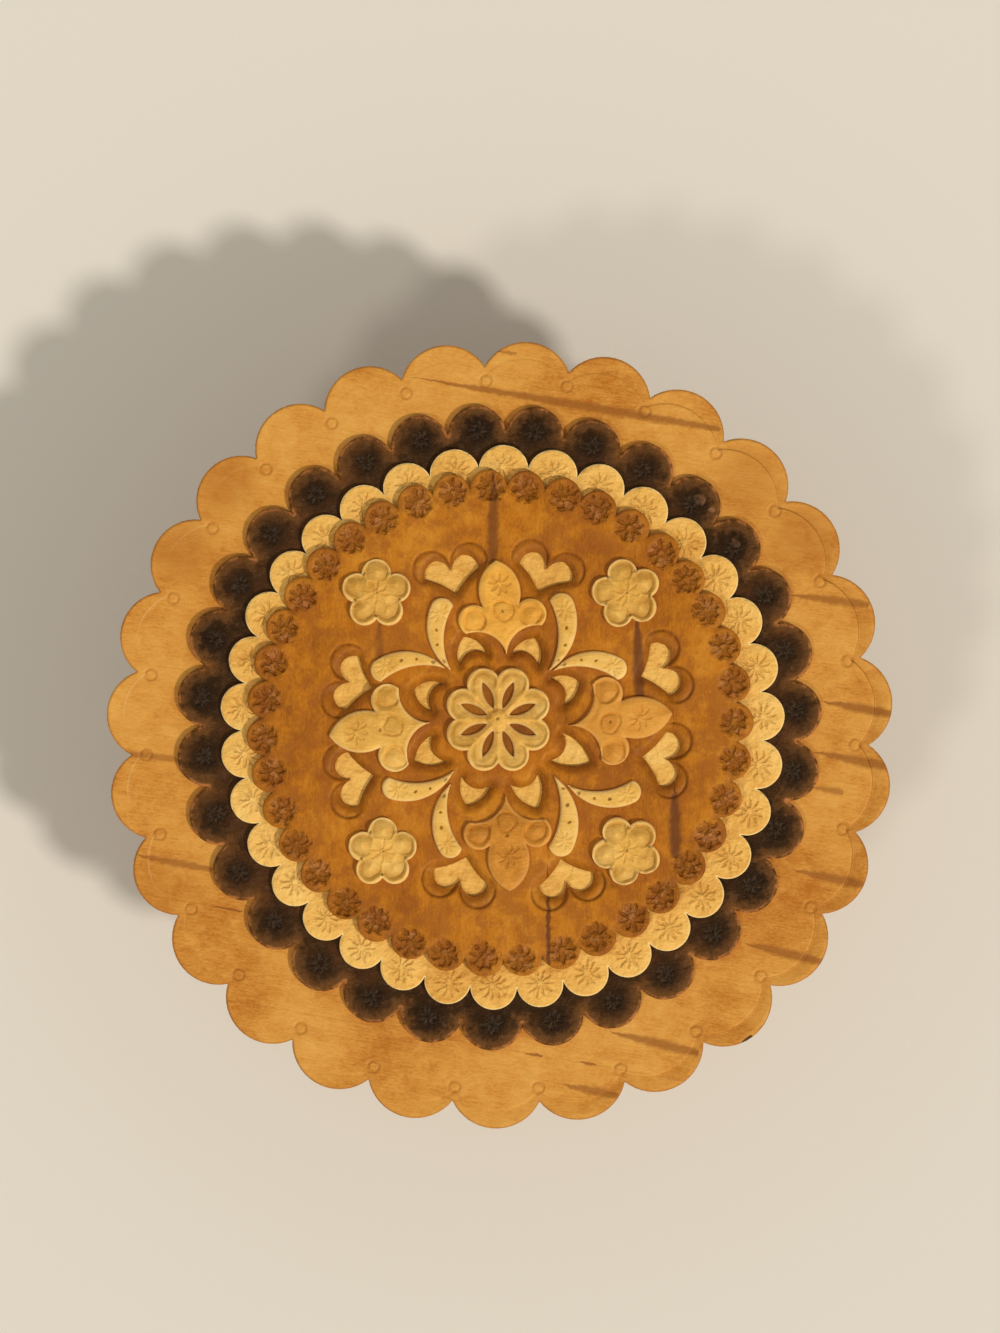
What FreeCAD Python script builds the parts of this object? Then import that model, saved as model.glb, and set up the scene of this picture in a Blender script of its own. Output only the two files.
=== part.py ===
import FreeCAD, Part
import math
import os

# A round birch bark box with a lift-off lid, in millimetres, +Z up.
# The origin is the centre of the underside of the base plate.
# Angles named azimuth run clockwise from +Y, seen from above.

# Wall of the box, from the inside out
mouth_radius = 60.0
inner_wall_thickness = 1.6
sleeve_thickness = 0.8
wrap_thickness = 1.4
dark_band_thickness = 1.2
yellow_band_thickness = 1.2
wall_height = 58.6

# Base and floor.
# A lobe share is the height of a lobe against half its width, so that 1 is a half circle.
base_tip_radius = 76.0
base_lobes = 27
base_lobe_share = 0.613
base_thickness = 2.2
floor_thickness = 4.0
floor_clearance = 0.2
floor_lining_thickness = 0.9

# Scalloped bands on the wall: reach from the foot or the mouth to the lobe tips
dark_band_height = 15.0
dark_band_lobe_depth = 5.6
dark_band_lobes = 32
yellow_band_height = 9.0
yellow_band_lobe_depth = 4.6
yellow_band_lobes = 39

# Openings cut through the outer wrap, in pairs of hearts with a leaf between the pairs
wrap_stations = 12
wrap_heart_gap = 3.0
wrap_leaf_length = 15.0
wrap_leaf_width = 5.0
cut_overrun = 2.0

# Lid plate, of two sheets glued crosswise
plate_tip_radius = 82.5
plate_lobes = 27
plate_lobe_share = 0.638
plate_start_azimuth = 5.8
plate_drift = 1.8
plate_drift_azimuth = 206.0
upper_sheet_thickness = 1.5
lower_sheet_thickness = 1.2

# Lid collar and lining
collar_clearance = 0.35
collar_outer_thickness = 1.2
collar_inner_thickness = 0.9
collar_depth = 13.0
lid_lining_thickness = 0.9

# Dark disc
dark_tip_radius = 67.5
dark_lobes = 31
dark_lobe_share = 0.93
dark_start_azimuth = 7.2
dark_drift = 1.7
dark_drift_azimuth = 263.0
dark_thickness = 1.9
dark_centre_x = -0.2
dark_centre_y = 1.5

# Yellow disc
yellow_tip_radius = 58.9
yellow_lobes = 34
yellow_lobe_share = 0.943
yellow_start_azimuth = 1.1
yellow_drift = 2.0
yellow_drift_azimuth = 115.0
yellow_thickness = 1.4
yellow_centre_x = 0.5
yellow_centre_y = 1.6

# Brown medallion
brown_tip_radius = 52.8
brown_lobes = 39
brown_lobe_share = 0.95
brown_start_azimuth = 7.4
brown_drift = 1.3
brown_drift_azimuth = 211.0
brown_thickness = 1.5
brown_centre_x = 0.0
brown_centre_y = 2.5

# Ornament on the medallion: its centre, and the thickness of each kind of bark
ornament_centre_x = -0.4
ornament_centre_y = 3.3
centre_flower_thickness = 1.7
tulip_thickness = 1.5
corner_flower_thickness = 1.5
crescent_thickness = 1.2

# Centre flower with almond slots
centre_flower_tip_radius = 11.3
centre_flower_petals = 8
centre_flower_petal_share = 0.867
slot_inner_reach = 2.5
slot_outer_reach = 8.4
slot_width = 1.7

# Leaf openings around the centre flower: azimuth, and share of the length
leaf_foot_reach = 13.4
leaf_foot_half_width = 3.1
leaf_length = 5.2
rosette_reach = 15.2
leaf_shares = [
    (24.5, 1.0),
    (64.9, 1.0),
    (115.0, 1.5),
    (156.3, 1.33),
    (199.8, 1.1),
    (243.7, 1.15),
    (290.0, 1.0),
    (337.5, 1.0),
]

# Heart openings, two to each axis: azimuth of the point, share of its reach, and the way the heart faces
heart_length = 7.6
heart_width = 11.4
heart_foot_reach = 29.0
heart_shares = [
    (17.5, 0.96, 20.0),
    (73.5, 1.07, 69.0),
    (104.5, 1.07, 97.0),
    (155.9, 1.10, 165.5),
    (192.8, 1.01, 196.5),
    (245.8, 0.98, 259.0),
    (283.9, 0.93, 284.0),
    (341.7, 0.95, 347.0),
]

# Tulips: azimuth, lean, and shares for the reach and the sideways place of the foot and for the length
tulip_length = 20.5
tulip_width = 18.4
tulip_foot_reach = 14.0
tulip_shares = {
    "north": (0.0, -6.4, 0.96, 0.09, 0.965),
    "east": (90.0, -6.8, 1.06, 0.06, 1.05),
    "south": (180.0, -2.6, 1.12, -0.08, 0.975),
    "west": (270.0, -7.6, 1.0, -0.03, 1.04),
}

# Corner flowers: azimuth, turn of the petals, and share of the reach
corner_flower_tip_radius = 7.3
corner_flower_petals = 5
corner_flower_petal_share = 1.01
corner_flower_reach = 37.0
corner_flower_shares = {
    "north_east": (45.6, -12.0, 1.01),
    "south_east": (135.4, -28.0, 1.03),
    "south_west": (220.9, 0.0, 0.99),
    "north_west": (315.8, 0.0, 0.98),
}

# Crescent leaves: azimuth of the foot, share of its reach, the way the leaf points, and share of its length.
# The left leaf of a pair curves out to the right and the right one to the left.
crescent_foot_reach = 15.8
crescent_length = 15.9
crescent_shares = {
    "north_east_left": (46.2, 0.93, 9.3, 1.03),
    "north_east_right": (48.8, 0.97, 89.2, 0.96),
    "south_east_left": (133.3, 1.25, 95.1, 0.97),
    "south_east_right": (135.5, 1.04, 175.1, 1.06),
    "south_west_left": (216.2, 1.05, 179.2, 0.97),
    "south_west_right": (220.6, 0.89, 255.6, 0.97),
    "north_west_left": (313.9, 0.97, 266.9, 0.97),
    "north_west_right": (316.2, 0.89, 352.9, 0.96),
}

V = FreeCAD.Vector
UP = V(0, 0, 1)
full_turn = 360.0

# Heights of the layers, from the table up
floor_level = base_thickness + floor_thickness
wall_top = base_thickness + wall_height
upper_sheet_level = wall_top + lower_sheet_thickness
dark_level = upper_sheet_level + upper_sheet_thickness
yellow_level = dark_level + dark_thickness
brown_level = yellow_level + yellow_thickness
ornament_level = brown_level + brown_thickness

# Radii of the wall's faces, from the inside out
sleeve_radius = mouth_radius + inner_wall_thickness
wrap_radius = sleeve_radius + sleeve_thickness
dark_band_radius = wrap_radius + wrap_thickness
yellow_band_radius = dark_band_radius + dark_band_thickness

# Radii of the lid's collar, from the outside in
collar_radius = mouth_radius - collar_clearance
collar_inner_face_radius = collar_radius - collar_outer_thickness
lining_radius = collar_inner_face_radius - collar_inner_thickness

ornament_centre = V(ornament_centre_x, ornament_centre_y, 0)


def polar(reach, azimuth):
    """Point at a distance from the centre, at an angle clockwise from +Y."""
    angle = math.radians(azimuth)
    return V(reach * math.sin(angle), reach * math.cos(angle), 0)


def arc(start, middle, end):
    """Edge that runs round from start to end by way of middle."""
    return Part.Arc(start, middle, end).toShape()


def face_of(edges):
    return Part.Face(Part.Wire(edges))


def scalloped_face(tip_radius, lobes, lobe_share, start=0.0, drift=0.0, drift_azimuth=0.0):
    """Flat disc with a round lobe between each two notches.

    The punch is stepped round by eye, so the lobes run ahead of an even pitch on one side
    of the disc and behind it on the other.
    """
    half_pitch = math.pi / lobes
    notch_radius = tip_radius / (math.cos(half_pitch) + lobe_share * math.sin(half_pitch))

    def azimuth(step):
        even = full_turn * step / lobes
        return start + even + drift * math.cos(math.radians(even - drift_azimuth))

    edges = []
    for lobe in range(lobes):
        edges.append(
            arc(
                polar(notch_radius, azimuth(lobe - 0.5)),
                polar(tip_radius, azimuth(lobe)),
                polar(notch_radius, azimuth(lobe + 0.5)),
            )
        )
    return face_of(edges)


def heart_face(length, width):
    """Heart with its point at the origin and two round lobes towards +Y."""
    notch_share = (0, 0.62)
    inner_share = (0.16, 0.86)
    crown_share = (0.50, 1.0)
    outer_share = (0.90, 0.84)
    shoulder_share = (1.0, 0.56)
    waist_share = (0.42, 0.30)
    foot_share = (0, 0)
    half_width = width / 2

    def lobe(side):
        """Edges of one half, from the notch round to the foot."""

        def point(share):
            return V(side * share[0] * half_width, share[1] * length, 0)

        return [
            arc(point(notch_share), point(inner_share), point(crown_share)),
            arc(point(crown_share), point(outer_share), point(shoulder_share)),
            arc(point(shoulder_share), point(waist_share), point(foot_share)),
        ]

    return face_of(lobe(1) + lobe(-1)[::-1])


def lens_face(start_reach, end_reach, width):
    """Almond of two arcs, from one reach to the other along +Y."""
    start = V(0, start_reach, 0)
    end = V(0, end_reach, 0)
    middle = (start_reach + end_reach) / 2
    half_width = width / 2
    return face_of([arc(start, V(half_width, middle, 0), end), arc(end, V(-half_width, middle, 0), start)])


def leaf_face(length):
    """Pointed leaf along +Y whose foot is hollowed by a bump of the centre rosette."""
    belly_share = (0.74, 0.60)
    left = V(-leaf_foot_half_width, leaf_foot_reach, 0)
    right = V(leaf_foot_half_width, leaf_foot_reach, 0)
    tip = V(0, leaf_foot_reach + length, 0)
    belly_x = belly_share[0] * leaf_foot_half_width
    belly_y = leaf_foot_reach + belly_share[1] * length
    return face_of(
        [
            arc(left, V(-belly_x, belly_y, 0), tip),
            arc(tip, V(belly_x, belly_y, 0), right),
            arc(right, V(0, rosette_reach, 0), left),
        ]
    )


def tulip_face(length, width):
    """Tulip with its foot at the origin: one pointed petal between two round side lobes."""
    half_width = width / 2
    tip = V(0, length, 0)
    foot = V(0, 0, 0)
    belly_share = (0.47, 0.70)
    notch_share = (0.41, 0.52)
    lobe_share = (1.0, 0.40)
    corner_share = (0.86, 0.265)
    throat_share = (0.29, 0.215)

    def point(share, side):
        return V(side * share[0] * half_width, share[1] * length, 0)

    right = [
        arc(tip, point(belly_share, 1), point(notch_share, 1)),
        arc(point(notch_share, 1), point(lobe_share, 1), point(corner_share, 1)),
        arc(point(corner_share, 1), point(throat_share, 1), foot),
    ]
    left = [
        arc(foot, point(throat_share, -1), point(corner_share, -1)),
        arc(point(corner_share, -1), point(lobe_share, -1), point(notch_share, -1)),
        arc(point(notch_share, -1), point(belly_share, -1), tip),
    ]
    return face_of(right + left)


def crescent_face(length, side):
    """Curved leaf with its pointed foot at the origin and its wide round end along +Y."""
    belly_share = (0.26, 0.55)
    end_share = (0.16, 0.92)
    cap_share = (0.03, 1.0)
    corner_share = (-0.135, 0.87)
    hollow_share = (0.05, 0.43)

    def point(share):
        return V(side * share[0] * length, share[1] * length, 0)

    foot = V(0, 0, 0)
    return face_of(
        [
            arc(foot, point(belly_share), point(end_share)),
            arc(point(end_share), point(cap_share), point(corner_share)),
            arc(point(corner_share), point(hollow_share), foot),
        ]
    )


def turned(shape, azimuth, centre=V(0, 0, 0)):
    """Copy turned clockwise by the azimuth about the origin, then moved to the centre."""
    copy = shape.copy()
    copy.rotate(V(0, 0, 0), UP, -azimuth)
    copy.translate(centre)
    return copy


def sheet(face, level, thickness):
    """Flat piece of bark cut to an outline."""
    copy = face.copy()
    copy.translate(UP * level)
    return copy.extrude(UP * thickness)


def tube(inner_radius, thickness, bottom, top):
    """Strip of bark closed into a ring."""
    height = top - bottom
    outer = Part.makeCylinder(inner_radius + thickness, height, UP * bottom)
    return outer.cut(Part.makeCylinder(inner_radius, height, UP * bottom))


def save(name, shape):
    shape.Solids[0].exportStep(f"parts/{name}.step")


def base_plate():
    face = scalloped_face(base_tip_radius, base_lobes, base_lobe_share)
    return sheet(face, 0, base_thickness)


def floor_disc():
    radius = mouth_radius - floor_clearance
    return Part.makeCylinder(radius, floor_thickness, UP * base_thickness)


def floor_lining():
    radius = mouth_radius - floor_clearance
    return Part.makeCylinder(radius, floor_lining_thickness, UP * floor_level)


def ring_stretch(inner_radius, thickness, bottom, top, azimuth, span):
    """Stretch of a ring, centred on an azimuth."""
    height = top - bottom
    wedge = Part.makeCylinder(inner_radius + thickness, height, UP * bottom, UP, span)
    stretch = wedge.cut(Part.makeCylinder(inner_radius, height, UP * bottom))
    return turned(stretch, azimuth + span / 2 - full_turn / 4)


def closed_ring(stretch, count):
    """Ring of like stretches, joined end to end."""
    copies = [turned(stretch, full_turn * step / count) for step in range(count)]
    return copies[0].multiFuse(copies[1:])


def upright(face, azimuth, level, inner_radius, thickness):
    """Prism that pierces a ring: a flat outline stood up at a level, facing outwards."""
    start = inner_radius - cut_overrun
    prism = face.extrude(UP * (thickness + 2 * cut_overrun))
    # Local x runs along the wall, local y points up and local z points outwards.
    prism.rotate(V(0, 0, 0), V(1, 0, 0), 90)
    prism.translate(V(0, -start, level))
    return turned(prism, azimuth + full_turn / 2)


def outer_wrap():
    """Brown bark wrapped round the wall, with hearts and leaves cut through it."""
    middle = (base_thickness + wall_top) / 2
    step = full_turn / wrap_stations
    heart = heart_face(heart_length, heart_width)
    hanging_heart = turned(heart, full_turn / 2)
    leaf = lens_face(-wrap_leaf_length / 2, wrap_leaf_length / 2, wrap_leaf_width)
    stretch = ring_stretch(wrap_radius, wrap_thickness, base_thickness, wall_top, step / 4, step)
    openings = [
        upright(heart, 0, middle + wrap_heart_gap / 2, wrap_radius, wrap_thickness),
        upright(hanging_heart, 0, middle - wrap_heart_gap / 2, wrap_radius, wrap_thickness),
        upright(leaf, step / 2, middle, wrap_radius, wrap_thickness),
    ]
    return closed_ring(stretch.cut(openings), wrap_stations)


def scalloped_band(inner_radius, thickness, height, lobe_depth, lobes):
    """Strip round the wall, standing on z 0, with a row of round lobes along its top."""
    half_chord = (inner_radius + thickness) * math.sin(math.pi / lobes)
    lobe_radius = (half_chord**2 + lobe_depth**2) / (2 * lobe_depth)
    shoulder = height - lobe_radius
    left = V(-lobe_radius, shoulder, 0)
    right = V(lobe_radius, shoulder, 0)
    left_foot = V(-lobe_radius, -cut_overrun, 0)
    right_foot = V(lobe_radius, -cut_overrun, 0)
    outline = face_of(
        [
            arc(left, V(0, height, 0), right),
            Part.makeLine(right, right_foot),
            Part.makeLine(right_foot, left_foot),
            Part.makeLine(left_foot, left),
        ]
    )
    stretch = ring_stretch(inner_radius, thickness, 0, height + cut_overrun, 0, full_turn / lobes)
    return closed_ring(stretch.common(upright(outline, 0, 0, inner_radius, thickness)), lobes)


def foot_band(band):
    band.translate(UP * base_thickness)
    return band


def mouth_band(band):
    """The same strip turned upside down, so that its straight edge lies along the mouth."""
    band.rotate(V(0, 0, 0), V(1, 0, 0), 180)
    band.translate(UP * wall_top)
    return band


def dark_band():
    return scalloped_band(
        dark_band_radius,
        dark_band_thickness,
        dark_band_height,
        dark_band_lobe_depth,
        dark_band_lobes,
    )


def yellow_band():
    return scalloped_band(
        yellow_band_radius,
        yellow_band_thickness,
        yellow_band_height,
        yellow_band_lobe_depth,
        yellow_band_lobes,
    )


def plate_sheet(level, thickness):
    face = scalloped_face(
        plate_tip_radius,
        plate_lobes,
        plate_lobe_share,
        plate_start_azimuth,
        plate_drift,
        plate_drift_azimuth,
    )
    return sheet(face, level, thickness)


def dark_disc():
    face = scalloped_face(
        dark_tip_radius,
        dark_lobes,
        dark_lobe_share,
        dark_start_azimuth,
        dark_drift,
        dark_drift_azimuth,
    )
    return sheet(turned(face, 0, V(dark_centre_x, dark_centre_y, 0)), dark_level, dark_thickness)


def yellow_disc():
    face = scalloped_face(
        yellow_tip_radius,
        yellow_lobes,
        yellow_lobe_share,
        yellow_start_azimuth,
        yellow_drift,
        yellow_drift_azimuth,
    )
    return sheet(turned(face, 0, V(yellow_centre_x, yellow_centre_y, 0)), yellow_level, yellow_thickness)


def brown_medallion():
    """Brown disc with leaf and heart openings that show the yellow disc under it."""
    face = scalloped_face(
        brown_tip_radius,
        brown_lobes,
        brown_lobe_share,
        brown_start_azimuth,
        brown_drift,
        brown_drift_azimuth,
    )
    face = turned(face, 0, V(brown_centre_x, brown_centre_y, 0))
    openings = []
    for azimuth, length_share in leaf_shares:
        openings.append(turned(leaf_face(length_share * leaf_length), azimuth, ornament_centre))
    heart = heart_face(heart_length, heart_width)
    for azimuth, reach_share, turn in heart_shares:
        openings.append(turned(heart, turn, ornament_centre + polar(reach_share * heart_foot_reach, azimuth)))
    return sheet(face.cut(openings).Faces[0], brown_level, brown_thickness)


def centre_flower():
    pitch = full_turn / centre_flower_petals
    face = scalloped_face(
        centre_flower_tip_radius, centre_flower_petals, centre_flower_petal_share, pitch / 2
    )
    slot = lens_face(slot_inner_reach, slot_outer_reach, slot_width)
    slots = [turned(slot, (petal + 0.5) * pitch) for petal in range(centre_flower_petals)]
    face = turned(face.cut(slots).Faces[0], 0, ornament_centre)
    return sheet(face, ornament_level, centre_flower_thickness)


def tulip(azimuth, lean, reach_share, side_share, length_share):
    length = length_share * tulip_length
    face = turned(tulip_face(length, tulip_width), lean)
    face.translate(V(side_share * length, reach_share * tulip_foot_reach, 0))
    return sheet(turned(face, azimuth, ornament_centre), ornament_level, tulip_thickness)


def corner_flower(azimuth, turn, reach_share):
    face = scalloped_face(corner_flower_tip_radius, corner_flower_petals, corner_flower_petal_share, turn)
    face = turned(face, 0, ornament_centre + polar(reach_share * corner_flower_reach, azimuth))
    return sheet(face, ornament_level, corner_flower_thickness)


def crescent(azimuth, reach_share, turn, length_share, side):
    foot = ornament_centre + polar(reach_share * crescent_foot_reach, azimuth)
    face = turned(crescent_face(length_share * crescent_length, side), turn, foot)
    return sheet(face, ornament_level, crescent_thickness)


os.makedirs("parts", exist_ok=True)

# Box
save("base_plate", base_plate())
save("floor_disc", floor_disc())
save("floor_lining", floor_lining())
save("inner_wall", tube(mouth_radius, inner_wall_thickness, base_thickness, wall_top))
save("pale_sleeve", tube(sleeve_radius, sleeve_thickness, base_thickness, wall_top))
save("outer_wrap", outer_wrap())
save("foot_dark_band", foot_band(dark_band()))
save("foot_yellow_band", foot_band(yellow_band()))
save("mouth_dark_band", mouth_band(dark_band()))
save("mouth_yellow_band", mouth_band(yellow_band()))

# Lid
save("lid_lower_sheet", plate_sheet(wall_top, lower_sheet_thickness))
save("lid_upper_sheet", plate_sheet(upper_sheet_level, upper_sheet_thickness))
collar_bottom = wall_top - collar_depth
save("collar_outer_ring", tube(collar_inner_face_radius, collar_outer_thickness, collar_bottom, wall_top))
save("collar_inner_ring", tube(lining_radius, collar_inner_thickness, collar_bottom, wall_top))
lining_bottom = wall_top - lid_lining_thickness
save("lid_lining", Part.makeCylinder(lining_radius, lid_lining_thickness, UP * lining_bottom))
save("dark_disc", dark_disc())
save("yellow_disc", yellow_disc())
save("brown_medallion", brown_medallion())

# Ornament on the lid
save("centre_flower", centre_flower())
for name, shares in tulip_shares.items():
    save(f"tulip_{name}", tulip(*shares))
for name, shares in corner_flower_shares.items():
    save(f"corner_flower_{name}", corner_flower(*shares))
for name, shares in crescent_shares.items():
    side = 1 if name.endswith("left") else -1
    save(f"crescent_{name}", crescent(*shares, side))
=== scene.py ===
import math

import bmesh
import bpy
import numpy as np
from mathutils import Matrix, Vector
from mathutils.geometry import delaunay_2d_cdt
from mathutils.kdtree import KDTree


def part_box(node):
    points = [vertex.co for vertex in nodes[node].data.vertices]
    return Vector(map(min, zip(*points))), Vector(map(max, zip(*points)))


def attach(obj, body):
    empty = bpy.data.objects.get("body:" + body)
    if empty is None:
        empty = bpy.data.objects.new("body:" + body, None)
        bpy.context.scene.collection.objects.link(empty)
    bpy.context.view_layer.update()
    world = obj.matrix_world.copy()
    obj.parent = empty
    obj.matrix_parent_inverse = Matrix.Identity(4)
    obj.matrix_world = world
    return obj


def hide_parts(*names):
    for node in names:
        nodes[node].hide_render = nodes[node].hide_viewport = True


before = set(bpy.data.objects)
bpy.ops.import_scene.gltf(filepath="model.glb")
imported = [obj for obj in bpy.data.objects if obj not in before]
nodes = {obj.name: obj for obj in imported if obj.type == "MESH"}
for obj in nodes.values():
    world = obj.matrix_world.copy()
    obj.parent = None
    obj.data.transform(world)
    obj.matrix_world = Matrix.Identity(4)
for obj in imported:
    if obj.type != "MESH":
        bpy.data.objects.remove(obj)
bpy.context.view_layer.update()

scene = bpy.context.scene


# The room is a plain pale floor under the box, with soft light from the lower right and, weaker, from
# the lower left. The camera looks straight down on the lid from 0.68 m, a little behind its middle.
# Sizes in metres, angles in degrees.
image_width = 1000
image_height = 1333
view_width = 0.2094
camera_rise = 0.68
camera_behind = 0.0143
sensor_width = 36.0
lamp_colour = (1.0, 0.97, 0.93)
daylight_strength = 0.475
floor_half = 30.0
floor_gap = 0.0002
lid_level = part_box("lid_upper_sheet")[1].z


def colour(code):
    """Linear colour of an sRGB hex value."""
    channels = [int(code[place : place + 2], 16) / 255 for place in (1, 3, 5)]
    linear = [c / 12.92 if c <= 0.04045 else ((c + 0.055) / 1.055) ** 2.4 for c in channels]
    return linear + [1.0]


def add(tree, kind, inputs=(), **settings):
    """Adds a node with its settings, and a kind without "Node" in it is one of the ShaderNode kinds. Its
    inputs are a list or go by name, and each is a value, a socket or a node, whose first output it takes.
    """
    made = tree.nodes.new(kind if "Node" in kind else "ShaderNode" + kind)
    for name, value in settings.items():
        setattr(made, name, value)
    for key, value in inputs.items() if isinstance(inputs, dict) else enumerate(inputs):
        if isinstance(value, bpy.types.Node):
            value = next(socket for socket in value.outputs if socket.enabled)
        if isinstance(value, bpy.types.NodeSocket):
            tree.links.new(value, made.inputs[key])
        else:
            made.inputs[key].default_value = value
    return made


def sun(name, strength, softness, zenith, azimuth):
    """Far lamp whose light comes down from a zenith angle and an azimuth clockwise from +Y."""
    lamp = bpy.data.objects.new(name, bpy.data.lights.new(name, "SUN"))
    lamp.data.energy = strength
    lamp.data.color = lamp_colour
    lamp.data.angle = math.radians(softness)
    flat = math.sin(math.radians(zenith))
    side = math.radians(azimuth)
    towards = Vector((flat * math.sin(side), flat * math.cos(side), math.cos(math.radians(zenith))))
    lamp.rotation_mode = "QUATERNION"
    lamp.rotation_quaternion = towards.to_track_quat("Z", "Y")
    scene.collection.objects.link(lamp)


sun("lamp_lower_right", strength=1.80, softness=4.5, zenith=43.0, azimuth=125.4)
sun("lamp_lower_left", strength=0.51, softness=7.0, zenith=38.0, azimuth=219.5)

world = bpy.data.worlds.new("soft daylight")
world.use_nodes = True
daylight = world.node_tree.nodes["Background"].inputs
daylight["Color"].default_value = colour("#FBFAF6")
daylight["Strength"].default_value = daylight_strength
scene.world = world

floor_mesh = bpy.data.meshes.new("floor")
floor_signs = ((-1, -1), (1, -1), (1, 1), (-1, 1))
floor_corners = [(x * floor_half, y * floor_half, -floor_gap) for x, y in floor_signs]
floor_mesh.from_pydata(floor_corners, [], [(0, 1, 2, 3)])
floor = bpy.data.objects.new("floor", floor_mesh)
scene.collection.objects.link(floor)
# Matt pale paper: an even ground with no sheen.
floor_paper = bpy.data.materials.new("matt pale paper")
floor_paper.use_nodes = True
paper = floor_paper.node_tree.nodes["Principled BSDF"].inputs
paper["Base Color"].default_value = colour("#E0D8C8")
paper["Roughness"].default_value = 0.9
floor_mesh.materials.append(floor_paper)

camera = bpy.data.objects.new("camera", bpy.data.cameras.new("camera"))
camera.data.sensor_width = sensor_width
camera.data.lens = sensor_width * camera_rise / (view_width * image_height / image_width)
camera.location = (0, camera_behind, lid_level + camera_rise)
scene.collection.objects.link(camera)
scene.camera = camera
scene.view_settings.view_transform = "Standard"


# Base plate: a scalloped sheet of birch bark that the wall stands on, waxed on its orange side. Each
# lobe is pressed with a curved gouge. Sizes are in mm, here and in every section below.
# How many lobes it has, where they start, and how far and where to they drift.
base_order = (27, 0.0, 0.0, 0.0)
base_tip = 76.0
base_cut_inset = 3.4
base_cut_notch_inset = 6.6
base_cut = (0.3, 0.4, 2.2)


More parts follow.
